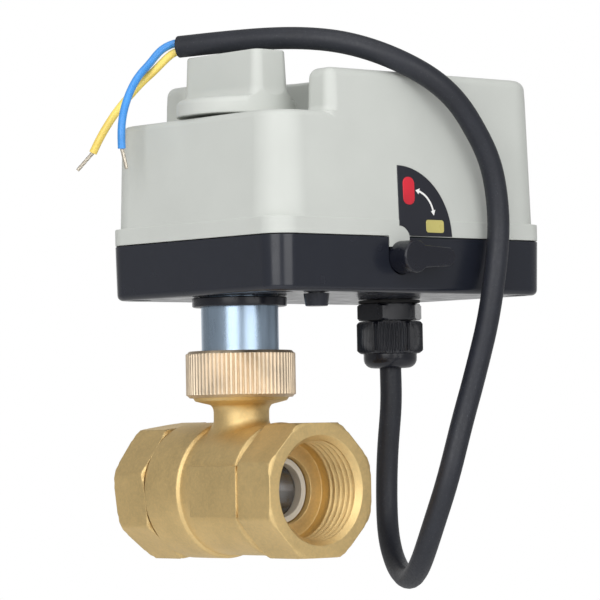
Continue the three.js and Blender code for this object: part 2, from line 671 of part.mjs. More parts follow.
function microswitch(z0, side) {
  const [near, far] = [13.2 * side, 22.8 * side].sort((a, b) => a - b);
  const body = prism(roundedRect(-10, 10, near, far, 0.8, 2), z0, z0 + 6.4);
  const plunger = rodY(1, ...[11.9 * side, 14 * side].sort((a, b) => a - b), 0, z0 + 3.2, 10);
  return cut(join(body, plunger), ...[-7, 7].map((x) => rod(1.5, z0 - 1, z0 + 8, x, 18 * side, 10)));
}

function terminalBlock() {
  const body = block(46, 60, -35, -27, 73.9, 82);
  const wireways = [49.5, 56.5].map((x) => block(x - 2, x + 2, -30, -26, 75.2, 78.6));
  const heads = [49.5, 56.5].map((x) => rod(1.7, 80.6, 83, x, -31.5, 12));
  return cut(body, ...wireways, ...heads);
}

piece('microswitch_open', microswitch(68.3, 1), 'black_plastic');
piece('microswitch_closed', microswitch(72.3, -1), 'black_plastic');
piece('pcb', prism(roundedRect(44, 70, -36, -12, 1, 2), 72, 73.6), 'circuit_green');
piece('terminal_block', terminalBlock(), 'terminal_green');

// ---- Manual lever and the fork it lifts ----

function manualLever() {
  const { x, z } = { x: LEVER_X, z: LEVER_Z };
  const paddle = prism([
    ...arc(x, z, LEVER_BOSS_R, 48, 312, 14),
    ...arc(43.5, 71.1, 3, 270, 450, 8),
  ], 45.2, 49.2, 0.6).rotate([90, 0, 0]);
  const boss = rodY(LEVER_BOSS_R, -48.6, -37.9, x, z);
  const shaft = rodY(LEVER_SHAFT_R, -38.5, 8.6, x, z, 24);
  const lobe = prism([
    ...arc(0, 0, 5.5, 60, 300, 10), ...arc(7.6, 0, 2.5, -70, 70, 6),
  ], -4, 4).rotate([90, 0, 0]).translate([x, 0, z]);
  return join(paddle, boss, shaft, lobe);
}

function shiftFork() {
  const [z0, z1] = [77.5, 79.5];
  const arm = prism(roundedRect(17.2, 36, -4, 4, 1.5, 3), z0, z1);
  const ear = join(rod(3.8, z0, z1, 26, 9, 16), block(23, 29, 2, 9, z0, z1));
  const seat = rod(4.2, z0, z1, IDLER_X, 0, 20);
  return cut(join(arm, ear, seat.intersect(block(17.2, 30, -5, 5, 70, 90))),
    rod(2.3, 70, 90, IDLER_X, 0, 16), rod(2.35, 70, 90, 26, 9, 16));
}

piece('manual_lever', manualLever(), 'black_plastic');
piece('shift_fork', shiftFork(), 'steel');

// ---- Cable gland ----

function glandBody() {
  const hex = prism(regular(6, 19, 6), 53.35, 58.65, 0.5);
  const outer = join(hex, rod(7.5, 58, 69), rod(7.2, 46.2, 54));
  return cut(outer, rod(CABLE_HOLE_R, 45, 70), rod(5.5, 45, 50.3)).translate([GLAND_X, GLAND_Y, 0]);
}

// Nut with a rounded hexagonal grip, ribs on its flats and a domed mouth.
function glandNut() {
  const hex = prism(regular(6, 18.9, 52), 42.6, 53.05, 0.4).intersect(rod(10.6, 42, 54, 0, 0, 36));
  const dome = turned([[0, 37.9], [5, 37.9], [7, 38.6], [8.2, 40.1], [8.65, 42.7], [0, 42.7]], 30);
  const grooves = [];
  for (let i = 0; i < 6; i += 1) {
    for (const side of [-1, 0, 1]) {
      const across = polar(2.8 * side, 60 * i + 52 + 90);
      const [x, y] = polar(9.7, 60 * i + 52, ...across);
      grooves.push(rod(0.5, 41, 54, x, y, 4));
    }
  }
  const inside = turned([[0, 37], [CABLE_HOLE_R, 37], [CABLE_HOLE_R, 43], [5.5, 43], [5.5, 45.6],
    [7.5, 45.6], [7.5, 54], [0, 54]], 24);
  return cut(join(hex, dome), inside, ...grooves).translate([GLAND_X, GLAND_Y, 0]);
}

piece('gland_washer', ring(7.8, 10, 58.95, 59.9, GLAND_X, GLAND_Y), 'rubber');
piece('gland_body', glandBody(), 'black_plastic');
piece('gland_seal', ring(3.8, 5.2, 43.3, 50, GLAND_X, GLAND_Y, 20), 'rubber');
piece('gland_nut', glandNut(), 'black_plastic');
piece('gland_locknut', cut(prism(regular(6, 19, 19), 63.3, 67, 0.4), rod(7.8, 60, 70))
  .translate([GLAND_X, GLAND_Y, 0]), 'black_plastic');

// ---- Lead ----

// From the gland down and round under the housing, up past its front and over the knob.
const CABLE_ROUTE = [
  [65, 2, 38], [65, 2.1, 26.2], [65.1, 3.6, 15.5], [65.3, 4.9, 4.8], [64.5, 4.4, -6],
  [62, 1, -15.9], [58.3, -5.6, -23.6], [53.7, -14.4, -28], [48.4, -23.9, -28.5],
  [43.4, -32.9, -25.1], [39.7, -40.6, -18.5], [38.2, -46.6, -9.6], [38.9, -50.7, 0.4],
  [41.2, -52.6, 10.8], [44.8, -52.8, 20.9], [49.4, -52.1, 30.7], [54.2, -50.9, 40.3],
  [58.9, -49.5, 49.9], [62.8, -48.2, 59.9], [65.6, -47.5, 70.3], [66.8, -47.5, 81],
  [65.7, -47.9, 91.8], [62.3, -48.4, 102], [56.4, -48.5, 111.1], [49.2, -48.5, 119.1],
  [40.8, -46.9, 125.8], [32.5, -42.6, 131.1], [25.2, -35.9, 135.4], [18.8, -27.8, 138.4],
  [13.1, -18.7, 140], [7.9, -9.3, 140.6], [3, 0.4, 140.6], [-1.8, 10.1, 140.3],
  [-6.4, 19.8, 139.9],
];
const BLUE_ROUTE = [
  [-7, 20.8, 141.1], [-11.1, 23, 138.9], [-14.9, 23.9, 134.8], [-19.1, 23.4, 131.2],
  [-22.9, 22.6, 127.2], [-26.1, 21.6, 122.7], [-28.5, 20.8, 117.7], [-29.7, 20.3, 112.3],
  [-29.6, 20.4, 106.8],
];
const YELLOW_ROUTE = [
  [-7, 20.8, 138.3], [-10, 22.4, 135.9], [-13.3, 24, 132.3], [-17, 25.7, 128.6],
  [-20.4, 27.3, 124.6], [-23.6, 28.9, 120.5], [-26.4, 30.5, 116], [-28.7, 32.2, 111.3],
  [-30.3, 34.2, 106.4],
];
const INNER_ROUTE = [
  [65, 2, 38.4], [65, 2, 50], [65, 2, 62], [65, 1.6, 71], [63.8, -1.5, 78.5], [61.2, -7.5, 83],
  [58, -14.5, 83.6], [55.3, -20.3, 81.8], [53.5, -24.6, 79.2],
];

piece('cable', tube(CABLE_ROUTE, CABLE_R, 54, 8), 'black_plastic');
piece('cable_inner', tube(INNER_ROUTE, CABLE_R, 16, 8), 'black_plastic');
piece('core_blue', tube(BLUE_ROUTE, 1.25, 18), 'core_blue');
piece('core_yellow', tube(YELLOW_ROUTE, 1.25, 18), 'core_yellow');
piece('tip_blue', tube([[-29.5, 20.4, 106.5], [-29.1, 20, 103.5], [-28.5, 19.5, 100.5]], 0.55, 3),
  'copper');
piece('tip_yellow', tube([[-30.5, 34.4, 106.1], [-32.1, 35.8, 103.6], [-34, 37.5, 101]], 0.55, 3),
  'copper');

export default actuator;
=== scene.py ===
# The looks of a motorized valve actuator on a brass ball valve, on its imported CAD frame.
# Shapes are given in millimetres and built in metres; the origin is where the valve's
# bore axis (Y) crosses the stem axis (Z). The lever and label face looks towards -Y.

import json
import math

import bmesh
import bpy
import numpy as np
from mathutils import Matrix, Vector


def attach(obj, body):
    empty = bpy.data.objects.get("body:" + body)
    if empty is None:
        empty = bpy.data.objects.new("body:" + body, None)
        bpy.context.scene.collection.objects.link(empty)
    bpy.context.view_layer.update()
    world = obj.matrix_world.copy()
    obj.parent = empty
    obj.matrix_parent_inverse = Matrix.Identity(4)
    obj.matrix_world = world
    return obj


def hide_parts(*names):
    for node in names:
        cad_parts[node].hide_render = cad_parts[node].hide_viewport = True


MM = 0.001
FULL_TURN = 2 * math.pi

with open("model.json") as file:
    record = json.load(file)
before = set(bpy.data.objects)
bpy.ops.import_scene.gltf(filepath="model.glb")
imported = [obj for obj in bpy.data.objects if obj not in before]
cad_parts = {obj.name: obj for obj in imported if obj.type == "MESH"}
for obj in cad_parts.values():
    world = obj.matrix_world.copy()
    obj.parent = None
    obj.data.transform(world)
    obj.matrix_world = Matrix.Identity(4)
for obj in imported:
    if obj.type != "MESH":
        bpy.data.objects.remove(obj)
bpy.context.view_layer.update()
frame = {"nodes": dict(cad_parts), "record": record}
nodes = frame["nodes"]


# ---- Camera, in metres and degrees ----

CAMERA_SPOT = (-0.6872, -0.8200, 0.0167)
CAMERA_AZIMUTH = -40.974
CAMERA_ELEVATION = -2.257
CAMERA_ROLL = 1.023
LENS = 206.17


def direction(azimuth, elevation):
    """Unit vector towards a viewer at that azimuth and elevation in degrees."""
    a, e = math.radians(azimuth), math.radians(elevation)
    return Vector((math.sin(a) * math.cos(e), -math.cos(a) * math.cos(e), math.sin(e)))


def make_camera():
    back = direction(CAMERA_AZIMUTH, CAMERA_ELEVATION)
    a, roll = math.radians(CAMERA_AZIMUTH), math.radians(CAMERA_ROLL)
    right = Vector((math.cos(a), math.sin(a), 0))
    up = back.cross(right)
    x = right * math.cos(roll) - up * math.sin(roll)
    y = right * math.sin(roll) + up * math.cos(roll)
    turn = Matrix((x, y, back)).transposed().to_4x4()
    camera = bpy.data.objects.new("camera", bpy.data.cameras.new("camera"))
    bpy.context.scene.collection.objects.link(camera)
    camera.matrix_world = Matrix.Translation(CAMERA_SPOT) @ turn
    camera.data.lens = LENS
    camera.data.sensor_width = 36
    camera.data.clip_start = 0.01
    camera.data.clip_end = 50
    bpy.context.scene.camera = camera


make_camera()


# ---- Materials ----


def srgb(r, g, b):
    """Linear colour of an sRGB value given from 0 to 255."""
    def linear(v):
        v /= 255
        return v / 12.92 if v <= 0.04045 else ((v + 0.055) / 1.055) ** 2.4

    return (linear(r), linear(g), linear(b))


class Shader:
    """A material under construction, with its principled node and object coordinates."""

    def __init__(self, name):
        self.material = bpy.data.materials.new(name)
        self.material.use_nodes = True
        self.tree = self.material.node_tree
        self.main = self.tree.nodes["Principled BSDF"]
        self.place = self.node("ShaderNodeTexCoord").outputs["Object"]

    def node(self, kind, **values):
        made = self.tree.nodes.new(kind)
        for key, value in values.items():
            setattr(made, key, value)
        return made

    def link(self, source, target):
        self.tree.links.new(source, target)

    def noise(self, scale, detail=3.0, roughness=0.5, stretch=None):
        made = self.node("ShaderNodeTexNoise")
        made.inputs["Scale"].default_value = scale
        made.inputs["Detail"].default_value = detail
        made.inputs["Roughness"].default_value = roughness
        source = self.place
        if stretch:
            mapping = self.node("ShaderNodeMapping")
            mapping.inputs["Scale"].default_value = stretch
            self.link(source, mapping.inputs["Vector"])
            source = mapping.outputs["Vector"]
        self.link(source, made.inputs["Vector"])
        return made.outputs["Fac"]

    def spread(self, value, low, high, start=0.3, end=0.7):
        """Maps a 0 to 1 value to a range."""
        made = self.node("ShaderNodeMapRange")
        made.inputs["From Min"].default_value = start
        made.inputs["From Max"].default_value = end
        made.inputs["To Min"].default_value = low
        made.inputs["To Max"].default_value = high
        self.link(value, made.inputs["Value"])
        return made.outputs["Result"]

    def blend(self, value, first, second):
        """Colour between two colours."""
        made = self.node("ShaderNodeMix", data_type="RGBA")
        self.link(value, made.inputs["Factor"])
        for socket, colour in (("A", first), ("B", second)):
            target = next(s for s in made.inputs if s.name == socket and s.type == "RGBA")
            if isinstance(colour, tuple):
                target.default_value = (*colour, 1)
            else:
                self.link(colour, target)
        return next(s for s in made.outputs if s.type == "RGBA")

    def colour(self, value):
        if isinstance(value, tuple):
            self.main.inputs["Base Color"].default_value = (*value, 1)
        else:
            self.link(value, self.main.inputs["Base Color"])

    def relief(self, heights, edge):
        """Bump from (height, distance, strength) layers, over edges softened by a radius."""
        normal = None
        if edge:
            bevel = self.node("ShaderNodeBevel", samples=6)
            bevel.inputs["Radius"].default_value = edge
            normal = bevel.outputs["Normal"]
        for height, distance, strength in heights:
            bump = self.node("ShaderNodeBump")
            bump.inputs["Distance"].default_value = distance
            bump.inputs["Strength"].default_value = strength
            self.link(height, bump.inputs["Height"])
            if normal:
                self.link(normal, bump.inputs["Normal"])
            normal = bump.outputs["Normal"]
        self.link(normal, self.main.inputs["Normal"])


def shade(colour, factor):
    return tuple(min(1.0, c * factor) for c in colour)


def plastic(name, colour, rough=0.42, texture=0.25, mottle=0.03, edge=0.2 * MM, coat=0.0):
    """Moulded plastic: fine spark-erosion grain, faint flow mottling, uneven sheen."""
    s = Shader(name)
    clouds = s.noise(45, detail=4)
    s.colour(s.blend(s.spread(clouds, 0, 1), shade(colour, 1 - mottle), shade(colour, 1 + mottle)))
    s.link(s.spread(s.noise(150), rough - 0.05, rough + 0.06), s.main.inputs["Roughness"])
    s.main.inputs["Specular IOR Level"].default_value = 0.45
    s.main.inputs["Coat Weight"].default_value = coat
    s.main.inputs["Coat Roughness"].default_value = 0.15
    s.relief([(s.noise(2600, detail=2), 0.05 * MM, texture), (clouds, 0.4 * MM, 0.03)], edge)
    return s.material


def cast_brass(name, colour):
    """Forged and shot-blasted brass: a fine sandy skin with warm and dull patches."""
    s = Shader(name)
    patches = s.noise(60, detail=6, roughness=0.6)
    grains = s.noise(1100, detail=5, roughness=0.7)
    tone = s.blend(s.spread(patches, 0, 1), shade(colour, 0.86), shade(colour, 1.1))
    s.colour(s.blend(s.spread(grains, 0, 0.4, 0.4, 0.75), tone, shade(colour, 1.4)))
    s.main.inputs["Metallic"].default_value = 1
    s.link(s.spread(grains, 0.46, 0.6), s.main.inputs["Roughness"])
    s.relief([(patches, 0.5 * MM, 0.15), (grains, 0.12 * MM, 0.7)], 0.4 * MM)
    return s.material


def turned_metal(name, colour, axis, rough=0.22, lines=5200, wear=0.1, edge=0.2 * MM):
    """Metal finished on a lathe: fine rings about an axis, 0 for X, 1 for Y or 2 for Z."""
    s = Shader(name)
    stretch = [30.0, 30.0, 30.0]
    stretch[axis] = lines / 4
    rings = s.noise(4, detail=5, roughness=0.7, stretch=tuple(stretch))
    patches = s.noise(60, detail=5)
    s.colour(s.blend(s.spread(patches, 0, 1), shade(colour, 1 - wear), shade(colour, 1 + wear)))
    s.main.inputs["Metallic"].default_value = 1
    s.link(s.spread(rings, rough - 0.06, rough + 0.12), s.main.inputs["Roughness"])
    s.relief([(rings, 0.03 * MM, 0.4), (patches, 0.3 * MM, 0.06)], edge)
    return s.material


def plated_steel(name, colour, rough=0.3, streaks=0.0):
    """Zinc-plated or plain steel: crystals, dull blooms and handling marks."""
    s = Shader(name)
    crystals = s.noise(420, detail=4, roughness=0.6)
    patches = s.noise(70, detail=6, roughness=0.65, stretch=(1, 1, 1 - streaks))
    s.colour(s.blend(s.spread(patches, 0, 1), shade(colour, 0.66), shade(colour, 1.15)))
    s.main.inputs["Metallic"].default_value = 1
    s.link(s.spread(patches, rough - 0.08, rough + 0.14), s.main.inputs["Roughness"])
    s.relief([(crystals, 0.05 * MM, 0.35), (patches, 0.1 * MM, 0.1)], 0.2 * MM)
    return s.material


def rubbery(name, colour, rough=0.55, coat=0.0, drag=1.0, specks=0.2):
    """Soft PVC or rubber: dull skin, drag marks and dust-light specks."""
    s = Shader(name)
    clouds = s.noise(90, detail=5)
    skin = s.noise(1300, detail=4, roughness=0.6)
    dust = s.noise(2600, detail=2)
    tone = s.blend(s.spread(clouds, 0, 1), shade(colour, 0.85), shade(colour, 1.2))
    s.colour(s.blend(s.spread(dust, 0, specks, 0.64, 0.8), tone, srgb(150, 152, 158)))
    s.link(s.spread(skin, rough - 0.1, rough + 0.12), s.main.inputs["Roughness"])
    s.main.inputs["Specular IOR Level"].default_value = 0.5
    s.main.inputs["Coat Weight"].default_value = coat
    s.main.inputs["Coat Roughness"].default_value = 0.25
    s.relief([(skin, 0.06 * MM, 0.3 * drag), (clouds, 0.5 * MM, 0.12 * drag)], 0.15 * MM)
    return s.material


COVER_GREY = srgb(196, 199, 194)
BASE_DARK = srgb(30, 33, 42)
BLACK = srgb(22, 24, 33)

MATERIALS = {
    "cover_plastic": plastic("cover_plastic", COVER_GREY, rough=0.5, edge=0),
    "base_plastic": plastic("base_plastic", BASE_DARK, rough=0.22, texture=0.1, edge=0),
    "black_plastic": plastic("black_plastic", BLACK, rough=0.24, texture=0.12),
    "label_print": plastic("label_print", srgb(30, 32, 41), rough=0.4, texture=0.05),
    "red_print": plastic("red_print", srgb(200, 38, 54), rough=0.3, texture=0.4, mottle=0.25),
    "yellow_print": plastic("yellow_print", srgb(196, 186, 112), rough=0.3, texture=0.4, mottle=0.12),
    "white_print": plastic("white_print", srgb(238, 238, 236), rough=0.4, texture=0.05),
    "valve_brass": cast_brass("valve_brass", srgb(221, 194, 139)),
    "nut_brass": plated_steel("nut_brass", srgb(232, 213, 186), rough=0.45),
    "chromed_ball": turned_metal("chromed_ball", srgb(205, 205, 205), 1, rough=0.12),
    "seat_ptfe": plastic("seat_ptfe", srgb(222, 218, 206), rough=0.45, texture=0.1),
    "zinc_steel": plated_steel("zinc_steel", srgb(172, 192, 212), rough=0.28, streaks=0.85),
    "steel": plated_steel("steel", srgb(168, 170, 173)),
    "bronze": turned_metal("bronze", srgb(168, 130, 84), 2, rough=0.38),
    "gear_plastic": plastic("gear_plastic", srgb(214, 208, 190), rough=0.4, texture=0.15),
    "seal_rubber": rubbery("seal_rubber", srgb(26, 26, 28), rough=0.7),
    "circuit": plastic("circuit", srgb(40, 104, 66), rough=0.25, texture=0.1, mottle=0.12),
    "terminal_plastic": plastic("terminal_plastic", srgb(52, 142, 84), rough=0.45),
    "cable_jacket": rubbery("cable_jacket", srgb(25, 28, 37), rough=0.5),
    "blue_insulation": rubbery("blue_insulation", srgb(66, 146, 222), 0.36, 0.1, 0.3, specks=0.03),
    "yellow_insulation": rubbery("yellow_insulation", srgb(244, 212, 106), 0.36, 0.1, 0.3, specks=0.03),
    "tinned_copper": turned_metal("tinned_copper", srgb(190, 182, 168), 2, rough=0.3),
}
MACHINED_BRASS = turned_metal("machined_brass", srgb(250, 230, 168), 1, rough=0.17, lines=4000,
                              edge=0.08 * MM)


# ---- Shading of smooth and sharp edges ----


def smoothing_group():
    """Geometry nodes that shade faces smooth and leave edges over an angle sharp."""
    tree = bpy.data.node_groups.new("smooth_by_angle", "GeometryNodeTree")
    tree.interface.new_socket("Geometry", in_out="INPUT", socket_type="NodeSocketGeometry")
    tree.interface.new_socket("Geometry", in_out="OUTPUT", socket_type="NodeSocketGeometry")
    angle = tree.nodes.new("GeometryNodeInputMeshEdgeAngle")
    flat = tree.nodes.new("FunctionNodeCompare")
    flat.operation = "LESS_EQUAL"
    flat.inputs[1].default_value = math.radians(33)
    edges = tree.nodes.new("GeometryNodeSetShadeSmooth")
    edges.domain = "EDGE"
    faces = tree.nodes.new("GeometryNodeSetShadeSmooth")
    faces.inputs["Shade Smooth"].default_value = True
    first = tree.nodes.new("NodeGroupInput")
    last = tree.nodes.new("NodeGroupOutput")
    tree.links.new(angle.outputs["Unsigned Angle"], flat.inputs[0])
    tree.links.new(first.outputs[0], faces.inputs["Geometry"])
    tree.links.new(faces.outputs[0], edges.inputs["Geometry"])
    tree.links.new(flat.outputs[0], edges.inputs["Shade Smooth"])
    tree.links.new(edges.outputs[0], last.inputs[0])
    return tree


SMOOTHING = smoothing_group()


def smooth(obj, weld=False):
    if weld:
        obj.modifiers.new("weld", "WELD").merge_threshold = 0.002 * MM
    obj.modifiers.new("smooth", "NODES").node_group = SMOOTHING
    weighted = obj.modifiers.new("weighted", "WEIGHTED_NORMAL")
    weighted.keep_sharp = True
    weighted.weight = 80


# ---- Mesh building ----

BODY_OF = {n: body for body, members in frame["record"]["behaviour"]["bodies"].items() for n in members}
SLOT_OF = {part["node"]: part["material_slot"] for part in frame["record"]["subparts"]}


def new_object(name, verts, faces, bands=None):
    """Mesh object from points in millimetres, with a material index for each face."""
    mesh = bpy.data.meshes.new(name)
    mesh.from_pydata([tuple(c * MM for c in v) for v in verts], [], faces)
    if bands:
        mesh.polygons.foreach_set("material_index", bands)
    shape = bmesh.new()
    shape.from_mesh(mesh)
    bmesh.ops.recalc_face_normals(shape, faces=shape.faces)
    shape.to_mesh(mesh)
    shape.free()
    obj = bpy.data.objects.new(name, mesh)
    bpy.context.scene.collection.objects.link(obj)
    return obj


def dress(obj, node, materials=None):
    """The object stands for a CAD node: it rides, wears its slot and hides the node."""
    obj.data.materials.clear()
    for material in materials or [MATERIALS[SLOT_OF[node]]]:
        obj.data.materials.append(material)
    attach(obj, BODY_OF[node])
    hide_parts(node)
    return obj


def skin(rings, wrap=False, marks=None):
    """Points and faces between closed rings of equal length, capped unless wrapped.
    marks gives the material index of the band after each ring, 0 where it has none,
    or a function that gives it for each place along the band."""
    count = len(rings[0])
    verts = [p for ring in rings for p in ring]
    faces, bands = [], []
    pairs = [(i, i + 1) for i in range(len(rings) - 1)]
    if wrap:
        pairs.append((len(rings) - 1, 0))
    for a, b in pairs:
        for k in range(count):
            m = (k + 1) % count
            faces.append((a * count + k, a * count + m, b * count + m, b * count + k))
            mark = (marks or {}).get(a, 0)
            bands.append(mark(k) if callable(mark) else mark)
    if not wrap:
        faces.append(tuple(range(count - 1, -1, -1)))
        faces.append(tuple((len(rings) - 1) * count + k for k in range(count)))
        bands += [(marks or {}).get(0, 0), (marks or {}).get(len(rings) - 2, 0)]
    return verts, faces, bands


def angles(count, start=0.0):
    return [start + FULL_TURN * k / count for k in range(count)]


def ring_z(radius, z, count=96, at=(0, 0)):
    """Ring about an upright axis; the radius is a number or a function of the angle."""
    get = radius if callable(radius) else lambda t: radius
    return [(at[0] + get(t) * math.cos(t), at[1] + get(t) * math.sin(t), z) for t in angles(count)]


def ring_y(radius, y, count=96):
    """Ring about the Y axis; the angle runs from +X to +Z."""
    get = radius if callable(radius) else lambda t: radius
    return [(get(t) * math.cos(t), y, get(t) * math.sin(t)) for t in angles(count)]


def turned(name, profile, count=96, at=(0, 0), wrap=False):
    """Solid of revolution about an upright axis from (radius, height) pairs."""
    rings = [ring_z(r, z, count, at) for r, z in profile]
    return new_object(name, *skin(rings, wrap))


def arc(cx, cy, radius, start, end, steps):
    """Points on an arc between two angles in degrees."""
    out = []
    for i in range(steps + 1):
        t = math.radians(start + (end - start) * i / steps)
        out.append((cx + radius * math.cos(t), cy + radius * math.sin(t)))
    return out


def outline(*runs):
    """Closed outline from arcs, each (centre x, centre y, radius, start, end, steps)."""
    points = []
    for run in runs:
        for p in arc(*run):
            if not points or math.dist(p, points[-1]) > 1e-4:
                points.append(p)
    return points


def rounded_box(x0, x1, half, corner, steps=18):
    return outline(*[(cx, cy, corner, start, start + 90, steps) for cx, cy, start in (
        (x1 - corner, half - corner, 0), (x0 + corner, half - corner, 90),
        (x0 + corner, corner - half, 180), (x1 - corner, corner - half, 270))])


def outward(points):
    """Unit normals of a counter-clockwise outline."""
    normals = []
    for a, b in zip(points[-1:] + points[:-1], points[1:] + points[:1]):
        dx, dy = b[0] - a[0], b[1] - a[1]
        size = math.hypot(dx, dy)
        normals.append((dy / size, -dx / size))
    return normals


def grown(points, normals, amount):
    """Outline moved outwards by an amount, one number or one for each point."""
    amounts = amount if isinstance(amount, list) else [amount] * len(points)
    return [(x + nx * a, y + ny * a) for (x, y), (nx, ny), a in zip(points, normals, amounts)]


def at_height(points, z):
    return [(x, y, z) for x, y in points]


def cut_away(obj, cutters):
    """Subtracts other objects from one and removes them."""
    for cutter in cutters:
        hole = obj.modifiers.new("hole", "BOOLEAN")
        hole.operation = "DIFFERENCE"
        hole.solver = "EXACT"
        hole.object = cutter
    view = bpy.context.evaluated_depsgraph_get()
    mesh = bpy.data.meshes.new_from_object(obj.evaluated_get(view))
    obj.modifiers.clear()
    obj.data = mesh
    for cutter in cutters:
        bpy.data.objects.remove(cutter)
    return obj


def box_part(x0, x1, y0, y1, z0, z1):
    ring = lambda z: [(x0, y0, z), (x1, y0, z), (x1, y1, z), (x0, y1, z)]
    return skin([ring(z0), ring(z1)])


def polygon_radius(sides, across_flats, turn=0.0):
    """Radius of a regular polygon as a function of the angle, a flat facing turn degrees."""
    half = math.pi / sides

    def radius(t):
        t = (t - math.radians(turn) + half) % (2 * half) - half
        return across_flats / 2 / math.cos(t)

    return radius


def spline(points, step=1.5):
    """Points close together on a natural cubic spline through the given points."""
    p = np.array(points, float)
    t = np.concatenate([[0], np.cumsum(np.linalg.norm(np.diff(p, axis=0), axis=1))])
    h = np.diff(t)
    n = len(p)
    system = np.eye(n)
    right = np.zeros_like(p)
    for i in range(1, n - 1):
        system[i, i - 1: i + 2] = h[i - 1], 2 * (h[i - 1] + h[i]), h[i]
        right[i] = 6 * ((p[i + 1] - p[i]) / h[i] - (p[i] - p[i - 1]) / h[i - 1])
    bend = np.linalg.solve(system, right)
    where = np.linspace(0, t[-1], max(2, int(round(t[-1] / step)) + 1))
    out = []
    for s in where:
        i = min(int(np.searchsorted(t, s, side="right")) - 1, n - 2)
        a, b, w = t[i + 1] - s, s - t[i], h[i]
        out.append((bend[i] * a ** 3 + bend[i + 1] * b ** 3) / (6 * w)
                   + (p[i] / w - bend[i] * w / 6) * a + (p[i + 1] / w - bend[i + 1] * w / 6) * b)
    return [tuple(float(c) for c in q) for q in out]


def length_of(points):
    return sum(math.dist(a, b) for a, b in zip(points, points[1:]))


# ---- Cable and cores ----

CABLE_ROUTE = [
    (65, 2, 38), (65, 2.1, 26.2), (65.1, 3.6, 15.5), (65.3, 4.9, 4.8), (64.5, 4.4, -6),
    (62, 1, -15.9), (58.3, -5.6, -23.6), (53.7, -14.4, -28), (48.4, -23.9, -28.5),
    (43.4, -32.9, -25.1), (39.7, -40.6, -18.5), (38.2, -46.6, -9.6), (38.9, -50.7, 0.4),
    (41.2, -52.6, 10.8), (44.8, -52.8, 20.9), (49.4, -52.1, 30.7), (54.2, -50.9, 40.3),
    (58.9, -49.5, 49.9), (62.8, -48.2, 59.9), (65.6, -47.5, 70.3), (66.8, -47.5, 81),
    (65.7, -47.9, 91.8), (62.3, -48.4, 102), (56.4, -48.5, 111.1), (49.2, -48.5, 119.1),
    (40.8, -46.9, 125.8), (32.5, -42.6, 131.1), (25.2, -35.9, 135.4), (18.8, -27.8, 138.4),
    (13.1, -18.7, 140), (7.9, -9.3, 140.6), (3, 0.4, 140.6), (-1.8, 10.1, 140.3),
    (-6.4, 19.8, 139.9),
]
BLUE_ROUTE = [
    (-5.8, 18.6, 141.2), (-7, 20.8, 141.1), (-11.1, 23, 138.9), (-14.9, 23.9, 134.8),
    (-19.1, 23.4, 131.2), (-22.9, 22.6, 127.2), (-26.1, 21.6, 122.7), (-28.5, 20.8, 117.7),
    (-29.7, 20.3, 112.3), (-29.6, 20.4, 106.8),
]
YELLOW_ROUTE = [
    (-5.8, 18.5, 138.5), (-7, 20.8, 138.3), (-10, 22.4, 135.9), (-13.3, 24, 132.3),
    (-17, 25.7, 128.6), (-20.4, 27.3, 124.6), (-23.6, 28.9, 120.5), (-26.4, 30.5, 116),
    (-28.7, 32.2, 111.3), (-30.3, 34.2, 106.4),
]
CABLE_RADIUS = 3.5
CORE_RADIUS = 1.25


def cord_piece(node, route, radius):
    """A round cord along its route, as one open curve."""
    points = spline(route)
    data = bpy.data.curves.new(f"{node}_cord", "CURVE")
    data.dimensions = "3D"
    data.bevel_depth = radius * MM
    data.bevel_resolution = 7
    data.use_fill_caps = True
    line = data.splines.new("POLY")
    line.points.add(len(points) - 1)
    for target, p in zip(line.points, points):
        target.co = (*(c * MM for c in p), 1)
    obj = bpy.data.objects.new(f"{node}_cord", data)
    bpy.context.scene.collection.objects.link(obj)
    dress(obj, node)
    [c * MM for c in points[0]]
    length_of(points) * MM
    return obj


def stranded_tip(node, start, end, radius):
    """Bare conductor: six fine strands twisted round a straight one."""
    base, axis = Vector(start), Vector(end) - Vector(start)
    side = axis.orthogonal().normalized()
    other = axis.normalized().cross(side)
    strand = radius / 2.6
    outer, steps, twist = 6, 16, 4.2
    verts, faces = [], []
    for s in range(outer + 1):
        rings = []
        for i in range(steps + 1):
            f = i / steps
            turn = FULL_TURN * s / outer + twist * f
            off = 0 if s == outer else radius - strand
            centre = base + axis * f + (side * math.cos(turn) + other * math.sin(turn)) * off
            rings.append([tuple(centre + (side * math.cos(t) + other * math.sin(t)) * strand)
                          for t in angles(8)])
        points, quads, _ = skin(rings)
        faces += [tuple(k + len(verts) for k in quad) for quad in quads]
        verts += points
    obj = dress(new_object(f"{node}_strands", verts, faces), node)
    smooth(obj)
    return obj


tip_blue = stranded_tip("tip_blue", (-29.6, 20.4, 106.9), (-28.5, 19.5, 100.5), 0.6)
tip_yellow = stranded_tip("tip_yellow", (-30.3, 34.2, 106.5), (-34, 37.5, 101), 0.6)
cord_piece("cable", CABLE_ROUTE, CABLE_RADIUS)
cord_piece("core_blue", BLUE_ROUTE, CORE_RADIUS)
cord_piece("core_yellow", YELLOW_ROUTE, CORE_RADIUS)


# ---- Valve ----

PORT_FLATS = 41
NEAR_FACE, NEAR_BACK = -37, -21.4
FAR_FACE, FAR_BACK, FAR_TURN = 38.2, 23.3, 7.5
THREAD_MINOR, THREAD_DEPTH, PITCH = 15.15, 1.4, 2.309
THREAD_START, THREAD_END, THREAD_STEPS = 1.8, 13.6, 66
SHOULDER_BORE, SEAT_ROOM, BALL_ROOM = 10.5, 14.8, 17.6
BARREL_R = 20.1
PAD_REACH, PAD_HALF, PAD_START, PAD_END = 20.8, 8.3, -22.2, 0.5
NECK_R, NECK_FILLET = 8.65, 3.0
HEAD_R, HEAD_TOP = 15.1, 38.9
STEM_ROOM, STEM_BORE = 4.8, 7.3
TURN_COUNT = 192


def octagon(turn):
    return polygon_radius(8, PORT_FLATS, turn)


